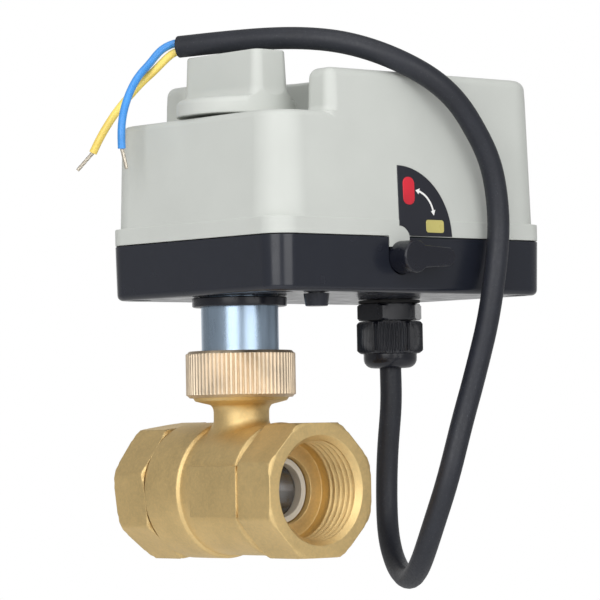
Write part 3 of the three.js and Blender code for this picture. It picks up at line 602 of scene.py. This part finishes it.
def port_rings(face, inward, turn, back):
    """Rings of one octagonal port: its back corner, flats, face, thread and seat bore.
    Returns the rings and the marks of their machined bands; corners are turned down."""
    flats = octagon(turn)
    limits = [(21.0, back), (21.9, back - 0.5 * inward), (22.6, back - 1.3 * inward)]
    limits += [(limit, face + depth * inward) for limit, depth in (
        (22.6, 1.5), (21.6, 0.45), (20.9, 0.1), (20.2, 0.0))]
    side = [ring_y(lambda t, m=limit: min(flats(t), m), y, TURN_COUNT) for limit, y in limits]
    marks = {}
    for i, (one, other) in enumerate(zip(limits, limits[1:])):
        low = min(one[0], other[0])
        marks[i] = lambda k, m=low: int(flats(FULL_TURN * (k + 0.5) / TURN_COUNT) > m)
    inner = [ring_y(16.85, face, TURN_COUNT), ring_y(16.7, face + 0.1 * inward, TURN_COUNT)]
    for i in range(THREAD_STEPS + 1):
        depth = THREAD_START + (THREAD_END - THREAD_START) * i / THREAD_STEPS

        def thread(t, depth=depth):
            phase = ((depth - THREAD_START) / PITCH - inward * t / FULL_TURN) % 1.0
            ridge = abs(2 * phase - 1)
            fade = min(1, (THREAD_END - depth) / 1.2) * min(1, (depth - THREAD_START + 0.2) / 0.8)
            crest = min(1, max(0, (1 - ridge) * 1.25 - 0.1))
            return THREAD_MINOR + THREAD_DEPTH * crest * max(0, fade)

        inner.append(ring_y(thread, face + depth * inward, TURN_COUNT))
    for r, depth in ((15.0, 14.0), (15.0, 16.65), (14.85, 16.8), (10.8, 16.9), (10.6, 16.95),
                     (SHOULDER_BORE, 17.1), (SHOULDER_BORE, 19)):
        inner.append(ring_y(r, face + depth * inward, TURN_COUNT))
    marks.update({i: 1 for i in range(len(side) - 1, len(side) + len(inner))})
    return side + inner, marks


def valve_body():
    """Near port, groove, bead, barrel with side pads and far band, hollow for the ball."""
    port, port_marks = port_rings(NEAR_FACE, 1, 0, NEAR_BACK)
    pad_lean = math.atan2(PAD_HALF, PAD_REACH)

    def outer(radius, y):
        def get(t):
            if not PAD_START <= y <= PAD_END:
                return radius
            lean = min(t % math.pi, math.pi - t % math.pi)
            return max(radius, PAD_REACH / math.cos(lean)) if lean <= pad_lean else radius
        return ring_y(get, y, TURN_COUNT)

    barrel = [
        (19.4, 22.8), (20.9, 22.75), (21.2, 22.3), (21.25, 15), (21.2, 7.2), (20.9, 6.6),
        (20.25, 6.2), (20.05, 5.4), (BARREL_R, 0.8), (BARREL_R, 0.45), (BARREL_R, -8), (20.05, -16.8),
        (20.35, -17.4), (20.8, -17.9), (20.85, -18.7), (20.7, -19.3), (20.0, -19.7),
        (19.6, -20.1), (19.6, -21.1), (19.9, NEAR_BACK),
    ]
    rings = [ring_y(18.2, 22.8, TURN_COUNT)] + [outer(r, y) for r, y in barrel]
    marks = {len(rings) + i: mark for i, mark in port_marks.items()}
    rings += port
    cavity = [(SHOULDER_BORE, -16.3), (SEAT_ROOM, -16.3), (SEAT_ROOM, -12.6), (BALL_ROOM, -12.6),
              (BALL_ROOM, 12), (18.2, 12)]
    marks.update({i: 1 for i in range(len(rings), len(rings) + len(cavity))})
    rings += [ring_y(r, y, TURN_COUNT) for r, y in cavity]
    return rings, marks


def barrel_height(x):
    """Height of the barrel's surface over the bore axis at a distance from the stem axis."""
    return math.sqrt(max(0.0, BARREL_R ** 2 - x * x))


def valve_neck():
    """Union head, cone and neck, flowing into the barrel with a cast fillet."""
    count = TURN_COUNT
    profile = [
        (STEM_ROOM, HEAD_TOP), (14.5, HEAD_TOP), (HEAD_R, 38.4), (HEAD_R, 29.0), (14.7, 28.4),
        (14.5, 28.1), (14.3, 27.8), (12.4, 27.3), (9.95, 26.72), (9.45, 26.5), (9.0, 25.9),
        (8.75, 25.2), (NECK_R, 24.4), (NECK_R, 23.6),
    ]
    rings = [ring_z(r, z, count) for r, z in profile]
    steps, sunk = 10, 0.4
    for i in range(steps + 1):
        bend = math.radians(90 * i / steps)
        radius = NECK_R + NECK_FILLET * (1 - math.cos(bend))
        lift = NECK_FILLET * (1 - math.sin(bend)) - (sunk if i == steps else 0)
        ring = []
        for t in angles(count):
            x, y = radius * math.cos(t), radius * math.sin(t)
            ring.append((x, y, barrel_height(x) + lift))
        rings.append(ring)
    rings.append([(x * 0.8, y * 0.8, z - 1.6) for x, y, z in rings[-1]])
    rings += [ring_z(r, z, count) for r, z in (
        (STEM_BORE, 17.9), (STEM_BORE, 20.2), (STEM_ROOM, 20.2))]
    return rings


def joined(name, *parts):
    """One object from several (points, faces, bands) sets."""
    verts, faces, bands = [], [], []
    for points, quads, marks in parts:
        faces += [tuple(k + len(verts) for k in quad) for quad in quads]
        verts += points
        bands += marks
    return new_object(name, verts, faces, bands)


body_rings, body_marks = valve_body()
body = joined("valve_body_cast", skin(body_rings, True, body_marks), skin(valve_neck(), True))
dress(body, "valve_body", [MATERIALS["valve_brass"], MACHINED_BRASS])
smooth(body)


def end_piece():
    """Far port, screwed into the body with its spigot."""
    port, port_marks = port_rings(FAR_FACE, -1, FAR_TURN, FAR_BACK)
    rings = [ring_y(r, y, TURN_COUNT) for r, y in ((17.9, 12.7), (17.9, 23.2), (19.8, FAR_BACK))]
    marks = {len(rings) + i: mark for i, mark in port_marks.items()}
    rings += port
    cavity = [(SHOULDER_BORE, 16.3), (SEAT_ROOM, 16.3), (SEAT_ROOM, 12.3), (17.5, 12.3)]
    marks.update({i: 1 for i in range(len(rings), len(rings) + len(cavity))})
    rings += [ring_y(r, y, TURN_COUNT) for r, y in cavity]
    return skin(rings, True, marks)


end = dress(new_object("end_piece_cast", *end_piece()), "end_piece",
            [MATERIALS["valve_brass"], MACHINED_BRASS])
smooth(end)


# ---- Ball and seats ----

BALL_R, BALL_BORE = 17, 8.4
BALL_COUNT = 144


def valve_ball():
    """Chromed ball: its round outside, the softened rims of its bore and the bore."""
    rim = math.sqrt(BALL_R ** 2 - BALL_BORE ** 2)
    tilt = math.degrees(math.asin(rim / BALL_R)) - 1.2
    profile = arc(0, 0, BALL_R, -tilt, tilt, 56)
    profile += [(BALL_BORE + 0.12, rim - 0.05), (BALL_BORE, rim - 0.3),
                (BALL_BORE, 0.3 - rim), (BALL_BORE + 0.12, 0.05 - rim)]
    return skin([ring_y(r, y, BALL_COUNT) for r, y in profile], True)


def valve_seat(way):
    """Ring with a collar towards the port and a face turned to the ball's curve."""
    profile = ((8.55, 18.2), (10.05, 18.2), (10.2, 18.05), (10.2, 16), (14.5, 16), (14.5, 11.7),
               (12.74, 11.7), (11.7, 12.74), (10.6, 13.67), (9.5, 14.46), (BALL_BORE, 15.12),
               (BALL_BORE, 18.05))
    return skin([ring_y(r, way * y, BALL_COUNT) for r, y in profile], True)


ball = new_object("valve_ball_polished", *valve_ball())
cut_away(ball, [new_object("stem_slot", *box_part(-20, 20, -3.1, 3.1, 12, 20))])
smooth(dress(ball, "valve_ball"))

for node, way in (("seat_near", -1), ("seat_far", 1)):
    smooth(dress(new_object(f"{node}_turned", *valve_seat(way)), node))


# ---- Union nut ----


NUT_R, KNURL_RIDGES, KNURL_DEPTH = 17.1, 72, 0.55
KNURL_END_DEPTH = 0.3


def union_nut():
    """Nut with a straight knurl of narrow grooves and turned lands at both ends."""
    count = 16 * KNURL_RIDGES

    def grooved(depth):
        def radius(t):
            off = abs((KNURL_RIDGES * t / FULL_TURN) % 1 - 0.5)
            return NUT_R - depth * max(0, 1 - off / 0.3)
        return radius

    rings = [ring_z(r, z, count) for r, z in ((15.4, 28.8), (15.9, 28.8), (16.2, 28.95), (16.55, 29.4))]
    for depth, z in ((KNURL_END_DEPTH, 29.7), (KNURL_DEPTH, 30.1), (KNURL_DEPTH, 36), (KNURL_DEPTH, 42),
                     (KNURL_END_DEPTH, 42.4)):
        rings.append(ring_z(grooved(depth), z, count))
    rings += [ring_z(r, z, count) for r, z in (
        (16.55, 42.7), (16.2, 43.15), (15.9, 43.3), (12.5, 43.3), (12.35, 43.15), (12.35, 41.6),
        (15.4, 41.6))]
    return skin(rings, True)


nut = dress(new_object("union_nut_knurled", *union_nut()), "union_nut")
smooth(nut)


# ---- Hand knob ----

SHOULDER, GRIP_TOP = 121.5, 136.0
KNOB_RADIUS, KNOB_ROUND = 18.75, 2.1
GRIP_HALF_X, GRIP_HALF_Y, GRIP_CORNER = 6.45, 17.6, 2.8
GRIP_FILLET = 3.7


def soft_max(a, b, blend):
    """The larger of two numbers, with a rounded change from one to the other."""
    h = max(blend - abs(a - b), 0) / blend
    return max(a, b) + h * h * blend / 4


def knob():
    """Flange and tapered grip bar, with a hollow fillet all round the grip's foot."""
    count = 384

    def grip(grow):
        """Radius of the grip's rounded rectangle, grown on all sides."""
        hx, hy = GRIP_HALF_X + grow, GRIP_HALF_Y + grow
        c = max(0.5, GRIP_CORNER + grow)

        def radius(t):
            cx, cy = abs(math.cos(t)), abs(math.sin(t))
            flat = min(hx / max(cx, 1e-9), hy / max(cy, 1e-9))
            if flat * cx <= hx - c or flat * cy <= hy - c:
                return flat
            b = (hx - c) * cx + (hy - c) * cy
            return b + math.sqrt(max(0.0, b * b - (hx - c) ** 2 - (hy - c) ** 2 + c * c))
        return radius

    def foot(grow, rim, z):
        """Ring of the fillet, which is tighter near the ends, over the flange's own rim."""
        side, end = grip(0.5 + grow), grip(0.5 + grow * 0.3)

        def radius(t):
            lean = abs(math.sin(t)) ** 4
            here = side(t) * (1 - lean) + end(t) * lean
            return min(soft_max(here, rim, 0.9), KNOB_RADIUS)
        return ring_z(radius, z, count)

    edge = ((-1.0, 0), (-0.45, 0.08), (-0.1, 0.4), (0.05, 0.9))
    rings = [ring_z(grip(grow), GRIP_TOP - down, count) for grow, down in edge]
    rings += [ring_z(grip(0.05 + 0.45 * k / 6), GRIP_TOP - 0.9 - 9.9 * k / 6, count)
              for k in range(1, 7)]
    for i in range(1, 11):
        bend = math.radians(90 * i / 10)
        spread = GRIP_FILLET * (1 - math.cos(bend))
        rings.append(foot(spread, 0, SHOULDER + GRIP_FILLET * (1 - math.sin(bend))))
    for i in range(8):
        bend = math.radians(90 * i / 7)
        rim = KNOB_RADIUS - KNOB_ROUND * (1 - math.sin(bend))
        rings.append(foot(GRIP_FILLET, rim, SHOULDER - KNOB_ROUND * (1 - math.cos(bend)) - 0.01))
    rings += [ring_z(r, z, count) for r, z in (
        (KNOB_RADIUS, 116.8), (18.6, 116.35), (18.3, 116.2), (4.5, 116.2), (4.5, 131.0))]
    return skin(rings)


hand_knob = dress(new_object("hand_knob_moulded", *knob()), "hand_knob")
smooth(hand_knob)


# ---- Housing ----

LEFT, RIGHT, HALF = -20, 94, 42
BOTTOM, SEAM, DECK, CROWN = 60.2, 77.4, 115.2, 129
DRAFT, WALL, DECK_EDGE = 0.032, 2.5, 2.25
WALL_CORNER, RIM_CORNER = 12, 8
BASE_TOP, BASE_DRAFT, BASE_EDGE = 77.25, 0.024, 1.8
POCKET_R, POCKET_EDGE = 28.07, 1.3
CROWN_END, CROWN_NOSE, CROWN_INNER = 1.6, 5.0, 4.93
CROWN_EDGE, CROWN_FILLET = 3.15, 2.0


def lower_cover():
    """Shell under the deck: inner room, rim with its ledge, leaning wall and deck."""
    def ring(inset, corner, z):
        return at_height(rounded_box(LEFT + inset, RIGHT - inset, HALF - inset, corner), z)

    def wall(z, extra=0.0):
        inset = DRAFT * (z - SEAM) + extra
        return inset, WALL_CORNER - inset

    rings = [ring(*wall(112.7, WALL), 112.7), ring(*wall(78, WALL), 77.55)]
    rings += [ring(inset, RIM_CORNER - inset, z) for inset, z in (
        (0.2, 77.55), (0.05, 77.65), (0, 77.85), (0, 82.35), (0.05, 82.58), (0.15, 82.7))]
    rings += [ring(0.16, 11.2, 82.74), ring(0.17, 11.75, 82.95), ring(*wall(83.4), 83.4)]
    rings += [ring(*wall(z), z) for z in (90, 100, 110, DECK - DECK_EDGE)]
    for i in range(1, 9):
        bend = math.radians(90 * i / 8)
        z = DECK - DECK_EDGE * (1 - math.sin(bend))
        rings.append(ring(*wall(z, DECK_EDGE * (1 - math.cos(bend))), z))
    return skin(rings)


def crown():
    """Raised part of the cover: two rounded arms around the knob's round pocket."""
    end, nose, corner, inner = CROWN_END, CROWN_NOSE, WALL_CORNER, CROWN_INNER
    cx = end + inner
    cy = math.sqrt((POCKET_R + inner) ** 2 - cx ** 2)
    lean = math.degrees(math.atan2(cy, cx))
    points = outline(
        (end + nose, nose - HALF, nose, 180, 270, 16),
        (RIGHT - corner, corner - HALF, corner, 270, 360, 18),
        (RIGHT - corner, HALF - corner, corner, 0, 90, 18),
        (end + nose, HALF - nose, nose, 90, 180, 16),
        (cx, cy, inner, 180, 180 + lean, 12), (0, 0, POCKET_R, lean, -lean, 72),
        (cx, -cy, inner, 180 - lean, 180, 12))
    normals = outward(points)
    flare, edge = [], []
    for (x, y), (nx, _) in zip(points, normals):
        inside = math.hypot(x, y) < POCKET_R + 0.01
        toward_end = min(1.0, max(0.0, -nx)) if x < 20 else 0.0
        flare.append(1.0 if inside else toward_end ** 2)
        edge.append(POCKET_EDGE if inside and x > 9 else CROWN_EDGE)
    blend_rounds = 14
    for _ in range(blend_rounds):
        edge = [(a + b + c) / 3 for a, b, c in zip(edge[-1:] + edge[:-1], edge, edge[1:] + edge[:1])]

    def ring(z, spread, edge_share=0.0):
        amounts = [-DRAFT * (z - SEAM) + spread * f - edge_share * e for f, e in zip(flare, edge)]
        return at_height(grown(points, normals, amounts), z)

    rings = [ring(DECK - DECK_EDGE, CROWN_FILLET), ring(DECK, CROWN_FILLET)]
    for i in range(1, 7):
        bend = math.radians(90 * i / 6)
        z = DECK + CROWN_FILLET * (1 - math.cos(bend))
        rings.append(ring(z, CROWN_FILLET * (1 - math.sin(bend))))
    rings.append(ring(CROWN - CROWN_EDGE - 3, 0))
    for i in range(9):
        bend = math.radians(90 * i / 8)
        level = ring(CROWN, 0, 1 - math.cos(bend))
        rings.append([(x, y, CROWN - e * (1 - math.sin(bend))) for (x, y, _), e in zip(level, edge)])
    return skin(rings)


LEVER_X, LEVER_Z, BOSS_RADIUS = 30.4, 71, 5.05
BOSS_HOLE, SLOT_BACK = 5.35, -38.5
tongue = box_part(LEVER_X - BOSS_RADIUS, LEVER_X + 3.4, -HALF - 0.03, -HALF + WALL, 74.2, SEAM + 2)
cover = joined("cover_moulded", lower_cover(), crown(), tongue)
dress(cover, "cover")
smooth(cover)

SCREW_SPOTS = [(-12.3, 34.3), (86.5, 34.5), (86.5, -34.5), (-12.3, -34.3)]
SCREW_HOLE = [(3.6, 58), (3.6, 66)]


def base_shell():
    """Tray with a leaning wall and a rounded bottom edge."""
    def ring(z, extra=0.0):
        inset = BASE_DRAFT * (BASE_TOP - z) + extra
        return at_height(
            rounded_box(LEFT + inset, RIGHT - inset, HALF - inset, RIM_CORNER - inset), z)

    rings = [ring(63, 2.6), ring(BASE_TOP, WALL), ring(BASE_TOP, 0.15), ring(77.18, 0.03)]
    rings += [ring(z) for z in (77.05, 72, 66, BOTTOM + BASE_EDGE)]
    for i in range(1, 9):
        bend = math.radians(90 * i / 8)
        rings.append(ring(BOTTOM + BASE_EDGE * (1 - math.sin(bend)), BASE_EDGE * (1 - math.cos(bend))))
    return skin(rings)


def boss_round(radius, y0, y1):
    """Cylinder along Y about the lever's axis, with softened ends."""
    rings = []
    for r, y in ((radius - 0.3, y0), (radius - 0.08, y0 + 0.08), (radius, y0 + 0.3),
                 (radius, y1 - 0.3), (radius - 0.3, y1)):
        rings.append([(LEVER_X + r * math.cos(t), y, LEVER_Z + r * math.sin(t)) for t in angles(72)])
    return skin(rings)


base = new_object("base_shell_moulded", *base_shell())
slot = box_part(LEVER_X - BOSS_HOLE, LEVER_X + 3.7, -45, SLOT_BACK, LEVER_Z, 79)
holes = [new_object("boss_slot", *slot),
         new_object("boss_hole", *boss_round(BOSS_HOLE, -45, SLOT_BACK))]
holes += [turned(f"screw_hole_{i}", SCREW_HOLE, 32, spot) for i, spot in enumerate(SCREW_SPOTS)]
cut_away(base, holes)
dress(base, "base_shell")
smooth(base)

peg = turned("locating_peg_moulded", [
    (0.1, 56), (3.1, 56), (3.35, 56.08), (3.5, 56.35), (4.0, 59.9), (2.5, 59.9), (2.5, 62.6),
    (0.1, 62.6)], 64, (3, -33))
dress(peg, "locating_peg")
smooth(peg)


# ---- Manual lever ----


def lever():
    """Boss and paddle: a round hub with a narrow arm that ends in a half round."""
    x, z, r, bend = LEVER_X, LEVER_Z, 5.0, 1.4
    top_z, low_z, tip_x, tip_r = 3.5, -3.4, 43.6, 2.95
    top_x = math.sqrt((r + bend) ** 2 - (top_z + bend) ** 2)
    low_x = math.sqrt((r + bend) ** 2 - (low_z - bend) ** 2)
    top_angle = math.degrees(math.atan2(top_z + bend, top_x))
    low_angle = math.degrees(math.atan2(low_z - bend, low_x))
    points = outline(
        (x, z, r, top_angle, 360 + low_angle, 60),
        (x + low_x, z + low_z - bend, bend, 180 + low_angle, 90, 8),
        (tip_x, z + 0.1, tip_r, -90, 90, 32),
        (x + top_x, z + top_z + bend, bend, 270, 180 + top_angle, 8))
    normals = outward(points)
    rings = []
    for y, inset in ((-45.2, 0.3), (-45.3, 0.1), (-45.55, 0), (-48.6, 0), (-48.9, 0.08),
                     (-49.1, 0.25), (-49.18, 0.45), (-49.2, 0.75), (-49.12, 1.1), (-49.1, 1.6)):
        rings.append([(px, y, pz) for px, pz in grown(points, normals, -inset)])
    return skin(rings)


lever_part = joined("manual_lever_moulded", lever(), boss_round(BOSS_RADIUS, -48.7, -34))
dress(lever_part, "manual_lever")
smooth(lever_part)


# ---- Label ----

LABEL_X, LABEL_R = 29.6, 22.1


def on_front(name, node, points, back, proud, edge):
    """Plate on the cover's leaning front wall, from a counter-clockwise (x, z) outline."""
    normals = outward(points)
    rings = []
    for inset, depth in ((0, -back), (0, proud - edge), (edge * 0.3, proud - edge * 0.3), (edge, proud)):
        rings.append([(x, -HALF + DRAFT * (z - SEAM) - depth, z)
                      for x, z in grown(points, normals, -inset)])
    made = dress(new_object(name, *skin(rings)), node)
    smooth(made)


def label_outline():
    """Quarter disc with a notch around the lever's boss."""
    quarter = arc(LABEL_X, SEAM, LABEL_R, 1, 90, 48)
    notch = arc(LABEL_X, SEAM - 1, 4.4, 90, 18, 14)
    return quarter + notch + [(LABEL_X + 6, SEAM + 0.35)]


def pad(x0, x1, z0, z1, corner):
    middle, half = (z0 + z1) / 2, (z1 - z0) / 2
    return [(x, middle + z) for x, z in rounded_box(x0, x1, half, corner, 8)]


def arrow_outline():
    """Curved arrow with a head at each end, pointing to the two marks."""
    cx, cz, r, half = 35.9, 83.7, 8.3, 0.33
    start, end, head, wide = 4, 84, 11, 1.0
    at = lambda radius, angle: (cx + radius * math.cos(math.radians(angle)),
                                cz + radius * math.sin(math.radians(angle)))
    points = [at(r, start), at(r + wide, start + head), at(r + half, start + head)]
    points += [at(r + half, a) for a in range(start + head + 4, end - head, 4)]
    points += [at(r + half, end - head), at(r + wide, end - head), at(r, end)]
    points += [at(r - wide, end - head), at(r - half, end - head)]
    points += [at(r - half, a) for a in range(end - head - 4, start + head, -4)]
    return points + [at(r - half, start + head), at(r - wide, start + head)]


on_front("label_plate_printed", "label_plate", label_outline(), 0.2, 0.3, 0.12)
on_front("red_marker_print", "red_marker", pad(31.5, 36.3, 87.4, 96, 2.1), -0.2, 0.45, 0.12)
on_front("yellow_marker_print", "yellow_marker", pad(40.7, 48.2, 78.9, 82.9, 0.9), -0.2, 0.45, 0.12)
on_front("arrow_mark_print", "arrow_mark", arrow_outline(), -0.25, 0.36, 0.03)


# ---- Union between valve and actuator ----

sleeve = turned("sleeve_turned", [
    (7.8, 39.3), (14.2, 39.3), (14.2, 41.3), (12.05, 41.3), (12.05, 59.9), (10.4, 59.9),
    (10.4, 67.6), (10, 68), (8.2, 68), (8.2, 59), (5.6, 59), (5.6, 56.9), (7.8, 56.9)], 160, wrap=True)
dress(sleeve, "sleeve")
smooth(sleeve)

collar = turned("mounting_collar_moulded", [
    (12.35, 57.0), (14.2, 57.0), (14.6, 57.12), (14.8, 57.45), (14.8, 59.6), (14.6, 59.9),
    (12.35, 59.9)], 160, wrap=True)
dress(collar, "mounting_collar")
smooth(collar)


# ---- Cable gland ----

GLAND_AT = (65, 2)
GLAND_FLATS, GLAND_TURN = 19, 6
CAP_FLATS, CAP_TURN, CAP_CORNER = 18.9, 52, 10.6
RIB_PITCH, RIBBED_HALF, CORNER_RISE = 0.86, 5.1, 0.12
LEAD_HOLE = 3.85


def gland_body():
    """Hexagon with turned chamfers, plain round shanks above and below."""
    hexagon = polygon_radius(6, GLAND_FLATS, GLAND_TURN)

    def ring(limit, z):
        return ring_z(lambda t: min(hexagon(t), limit), z, 240, GLAND_AT)

    rings = [ring_z(r, z, 240, GLAND_AT) for r, z in ((LEAD_HOLE, 46.2), (7.2, 46.2), (7.2, 53.35))]
    rings += [ring(9.6, 53.35), ring(10.1, 53.4), ring(10.95, 53.95), ring(10.95, 58.05),
              ring(10.1, 58.6), ring(9.6, 58.65)]
    rings += [ring_z(r, z, 240, GLAND_AT) for r, z in ((7.5, 58.65), (7.5, 69), (LEAD_HOLE, 69))]
    return skin(rings, True)


def gland_nut():
    """Rounded hexagon, ribbed on its flats, over a glossy domed mouth."""
    hexagon = polygon_radius(6, CAP_FLATS, CAP_TURN)
    count = 1080
    sixth = math.pi / 3

    def grip(limit, depth):
        def radius(t):
            turn = (t - math.radians(CAP_TURN) + sixth / 2) % sixth - sixth / 2
            across = CAP_FLATS / 2 * math.tan(turn)
            base = min(hexagon(t), limit)
            if abs(across) > RIBBED_HALF:
                return base + (CORNER_RISE if depth and limit == CAP_CORNER else 0)
            return base - depth * (0.5 + 0.5 * math.cos(FULL_TURN * across / RIB_PITCH)) ** 0.8
        return radius

    def plain(r, z):
        return ring_z(r, z, count, GLAND_AT)

    dome = 3.05
    rings = [plain(LEAD_HOLE, 37.95), plain(5.0, 37.95), plain(5.6, 38.0)]
    rings += [plain(r, z) for r, z in arc(5.6, 38.0 + dome, dome, -75, 0, 5)]
    rings += [plain(8.65, 42.5), plain(8.9, 42.62)]
    for limit, depth, z in ((9.5, 0, 42.7), (10.1, 0.1, 43.1), (CAP_CORNER, 0.3, 43.7),
                            (CAP_CORNER, 0.36, 46), (CAP_CORNER, 0.36, 50), (CAP_CORNER, 0.3, 52.2),
                            (10.2, 0.1, 52.8), (9.8, 0, 53.05)):
        rings.append(ring_z(grip(limit, depth), z, count, GLAND_AT))
    rings += [plain(r, z) for r, z in (
        (7.5, 53.05), (7.5, 45.6), (5.5, 45.6), (5.5, 43), (LEAD_HOLE, 43))]
    return skin(rings, True)


for name, node, parts in (("gland_body_moulded", "gland_body", gland_body()),
                          ("gland_nut_moulded", "gland_nut", gland_nut())):
    smooth(dress(new_object(name, *parts), node))
washer = turned("gland_washer_moulded", [
    (7.8, 58.95), (9.7, 58.95), (10, 59.1), (10, 59.75), (9.8, 59.9), (7.8, 59.9)], 120, GLAND_AT, True)
smooth(dress(washer, "gland_washer"))


# ---- CAD nodes that keep their shape ----

for name, node in nodes.items():
    if not node.hide_render:
        node.data.materials.clear()
        node.data.materials.append(MATERIALS[SLOT_OF[name]])
        smooth(node, weld=True)


# ---- Stage ----


def make_floor():
    """A wide pale floor well below the part, which hangs on its pipes."""
    level, reach = -0.36, 4.1
    mesh = bpy.data.meshes.new("floor")
    mesh.from_pydata([(-reach, -reach, level), (reach, -reach, level), (reach, reach, level),
                      (-reach, reach, level)], [], [(0, 1, 2, 3)])
    floor = bpy.data.objects.new("floor", mesh)
    bpy.context.scene.collection.objects.link(floor)
    s = Shader("pale_floor")
    s.colour(s.blend(s.spread(s.noise(2), 0, 1), (0.90, 0.90, 0.90), (0.93, 0.93, 0.93)))
    s.main.inputs["Roughness"].default_value = 0.8
    mesh.materials.append(s.material)


LIT_POINT = Vector((0.02, 0, 0.05))


def softbox(name, azimuth, elevation, distance, width, height, power):
    """Rectangular lamp that faces the part from one side, unseen by the camera."""
    light = bpy.data.lights.new(name, "AREA")
    light.shape = "RECTANGLE"
    light.size, light.size_y = width, height
    light.energy = power
    lamp = bpy.data.objects.new(name, light)
    bpy.context.scene.collection.objects.link(lamp)
    away = direction(azimuth, elevation)
    lamp.location = LIT_POINT + away * distance
    lamp.rotation_mode = "QUATERNION"
    lamp.rotation_quaternion = away.to_track_quat("Z", "Y")
    lamp.visible_camera = False


SIDE_WALL, FRONT_WALL = 0.42, 0.56


def make_world():
    """White studio backdrop behind the part, with greyer walls at its sides and in front."""
    world = bpy.data.worlds.new("studio")
    bpy.context.scene.world = world
    world.use_nodes = True
    tree = world.node_tree
    place = tree.nodes.new("ShaderNodeTexCoord")
    facing = tree.nodes.new("ShaderNodeVectorMath")
    facing.operation = "DOT_PRODUCT"
    facing.inputs[1].default_value = direction(CAMERA_AZIMUTH, 0)
    spot = tree.nodes.new("ShaderNodeMapRange")
    spot.inputs["From Min"].default_value = -1
    spot.inputs["From Max"].default_value = 1
    level = tree.nodes.new("ShaderNodeValToRGB")
    stops = level.color_ramp.elements
    stops[0].position, stops[0].color = 0.03, (1, 1, 1, 1)
    stops[1].position, stops[1].color = 1.0, (FRONT_WALL,) * 3 + (1,)
    for position, value in ((0.12, SIDE_WALL), (0.65, SIDE_WALL)):
        stops.new(position).color = (value, value, value, 1)
    tree.links.new(place.outputs["Generated"], facing.inputs[0])
    tree.links.new(facing.outputs["Value"], spot.inputs["Value"])
    tree.links.new(spot.outputs["Result"], level.inputs["Fac"])
    tree.links.new(level.outputs["Color"], tree.nodes["Background"].inputs["Color"])


make_floor()
make_world()
softbox("left_softbox", -62, 20, 1.2, 0.8, 0.95, 7.2)
softbox("right_softbox", -8, 13, 1.2, 0.8, 0.8, 4.4)
softbox("top_softbox", -40, 72, 1.1, 0.8, 0.8, 3.0)
bpy.context.scene.view_settings.view_transform = "Standard"
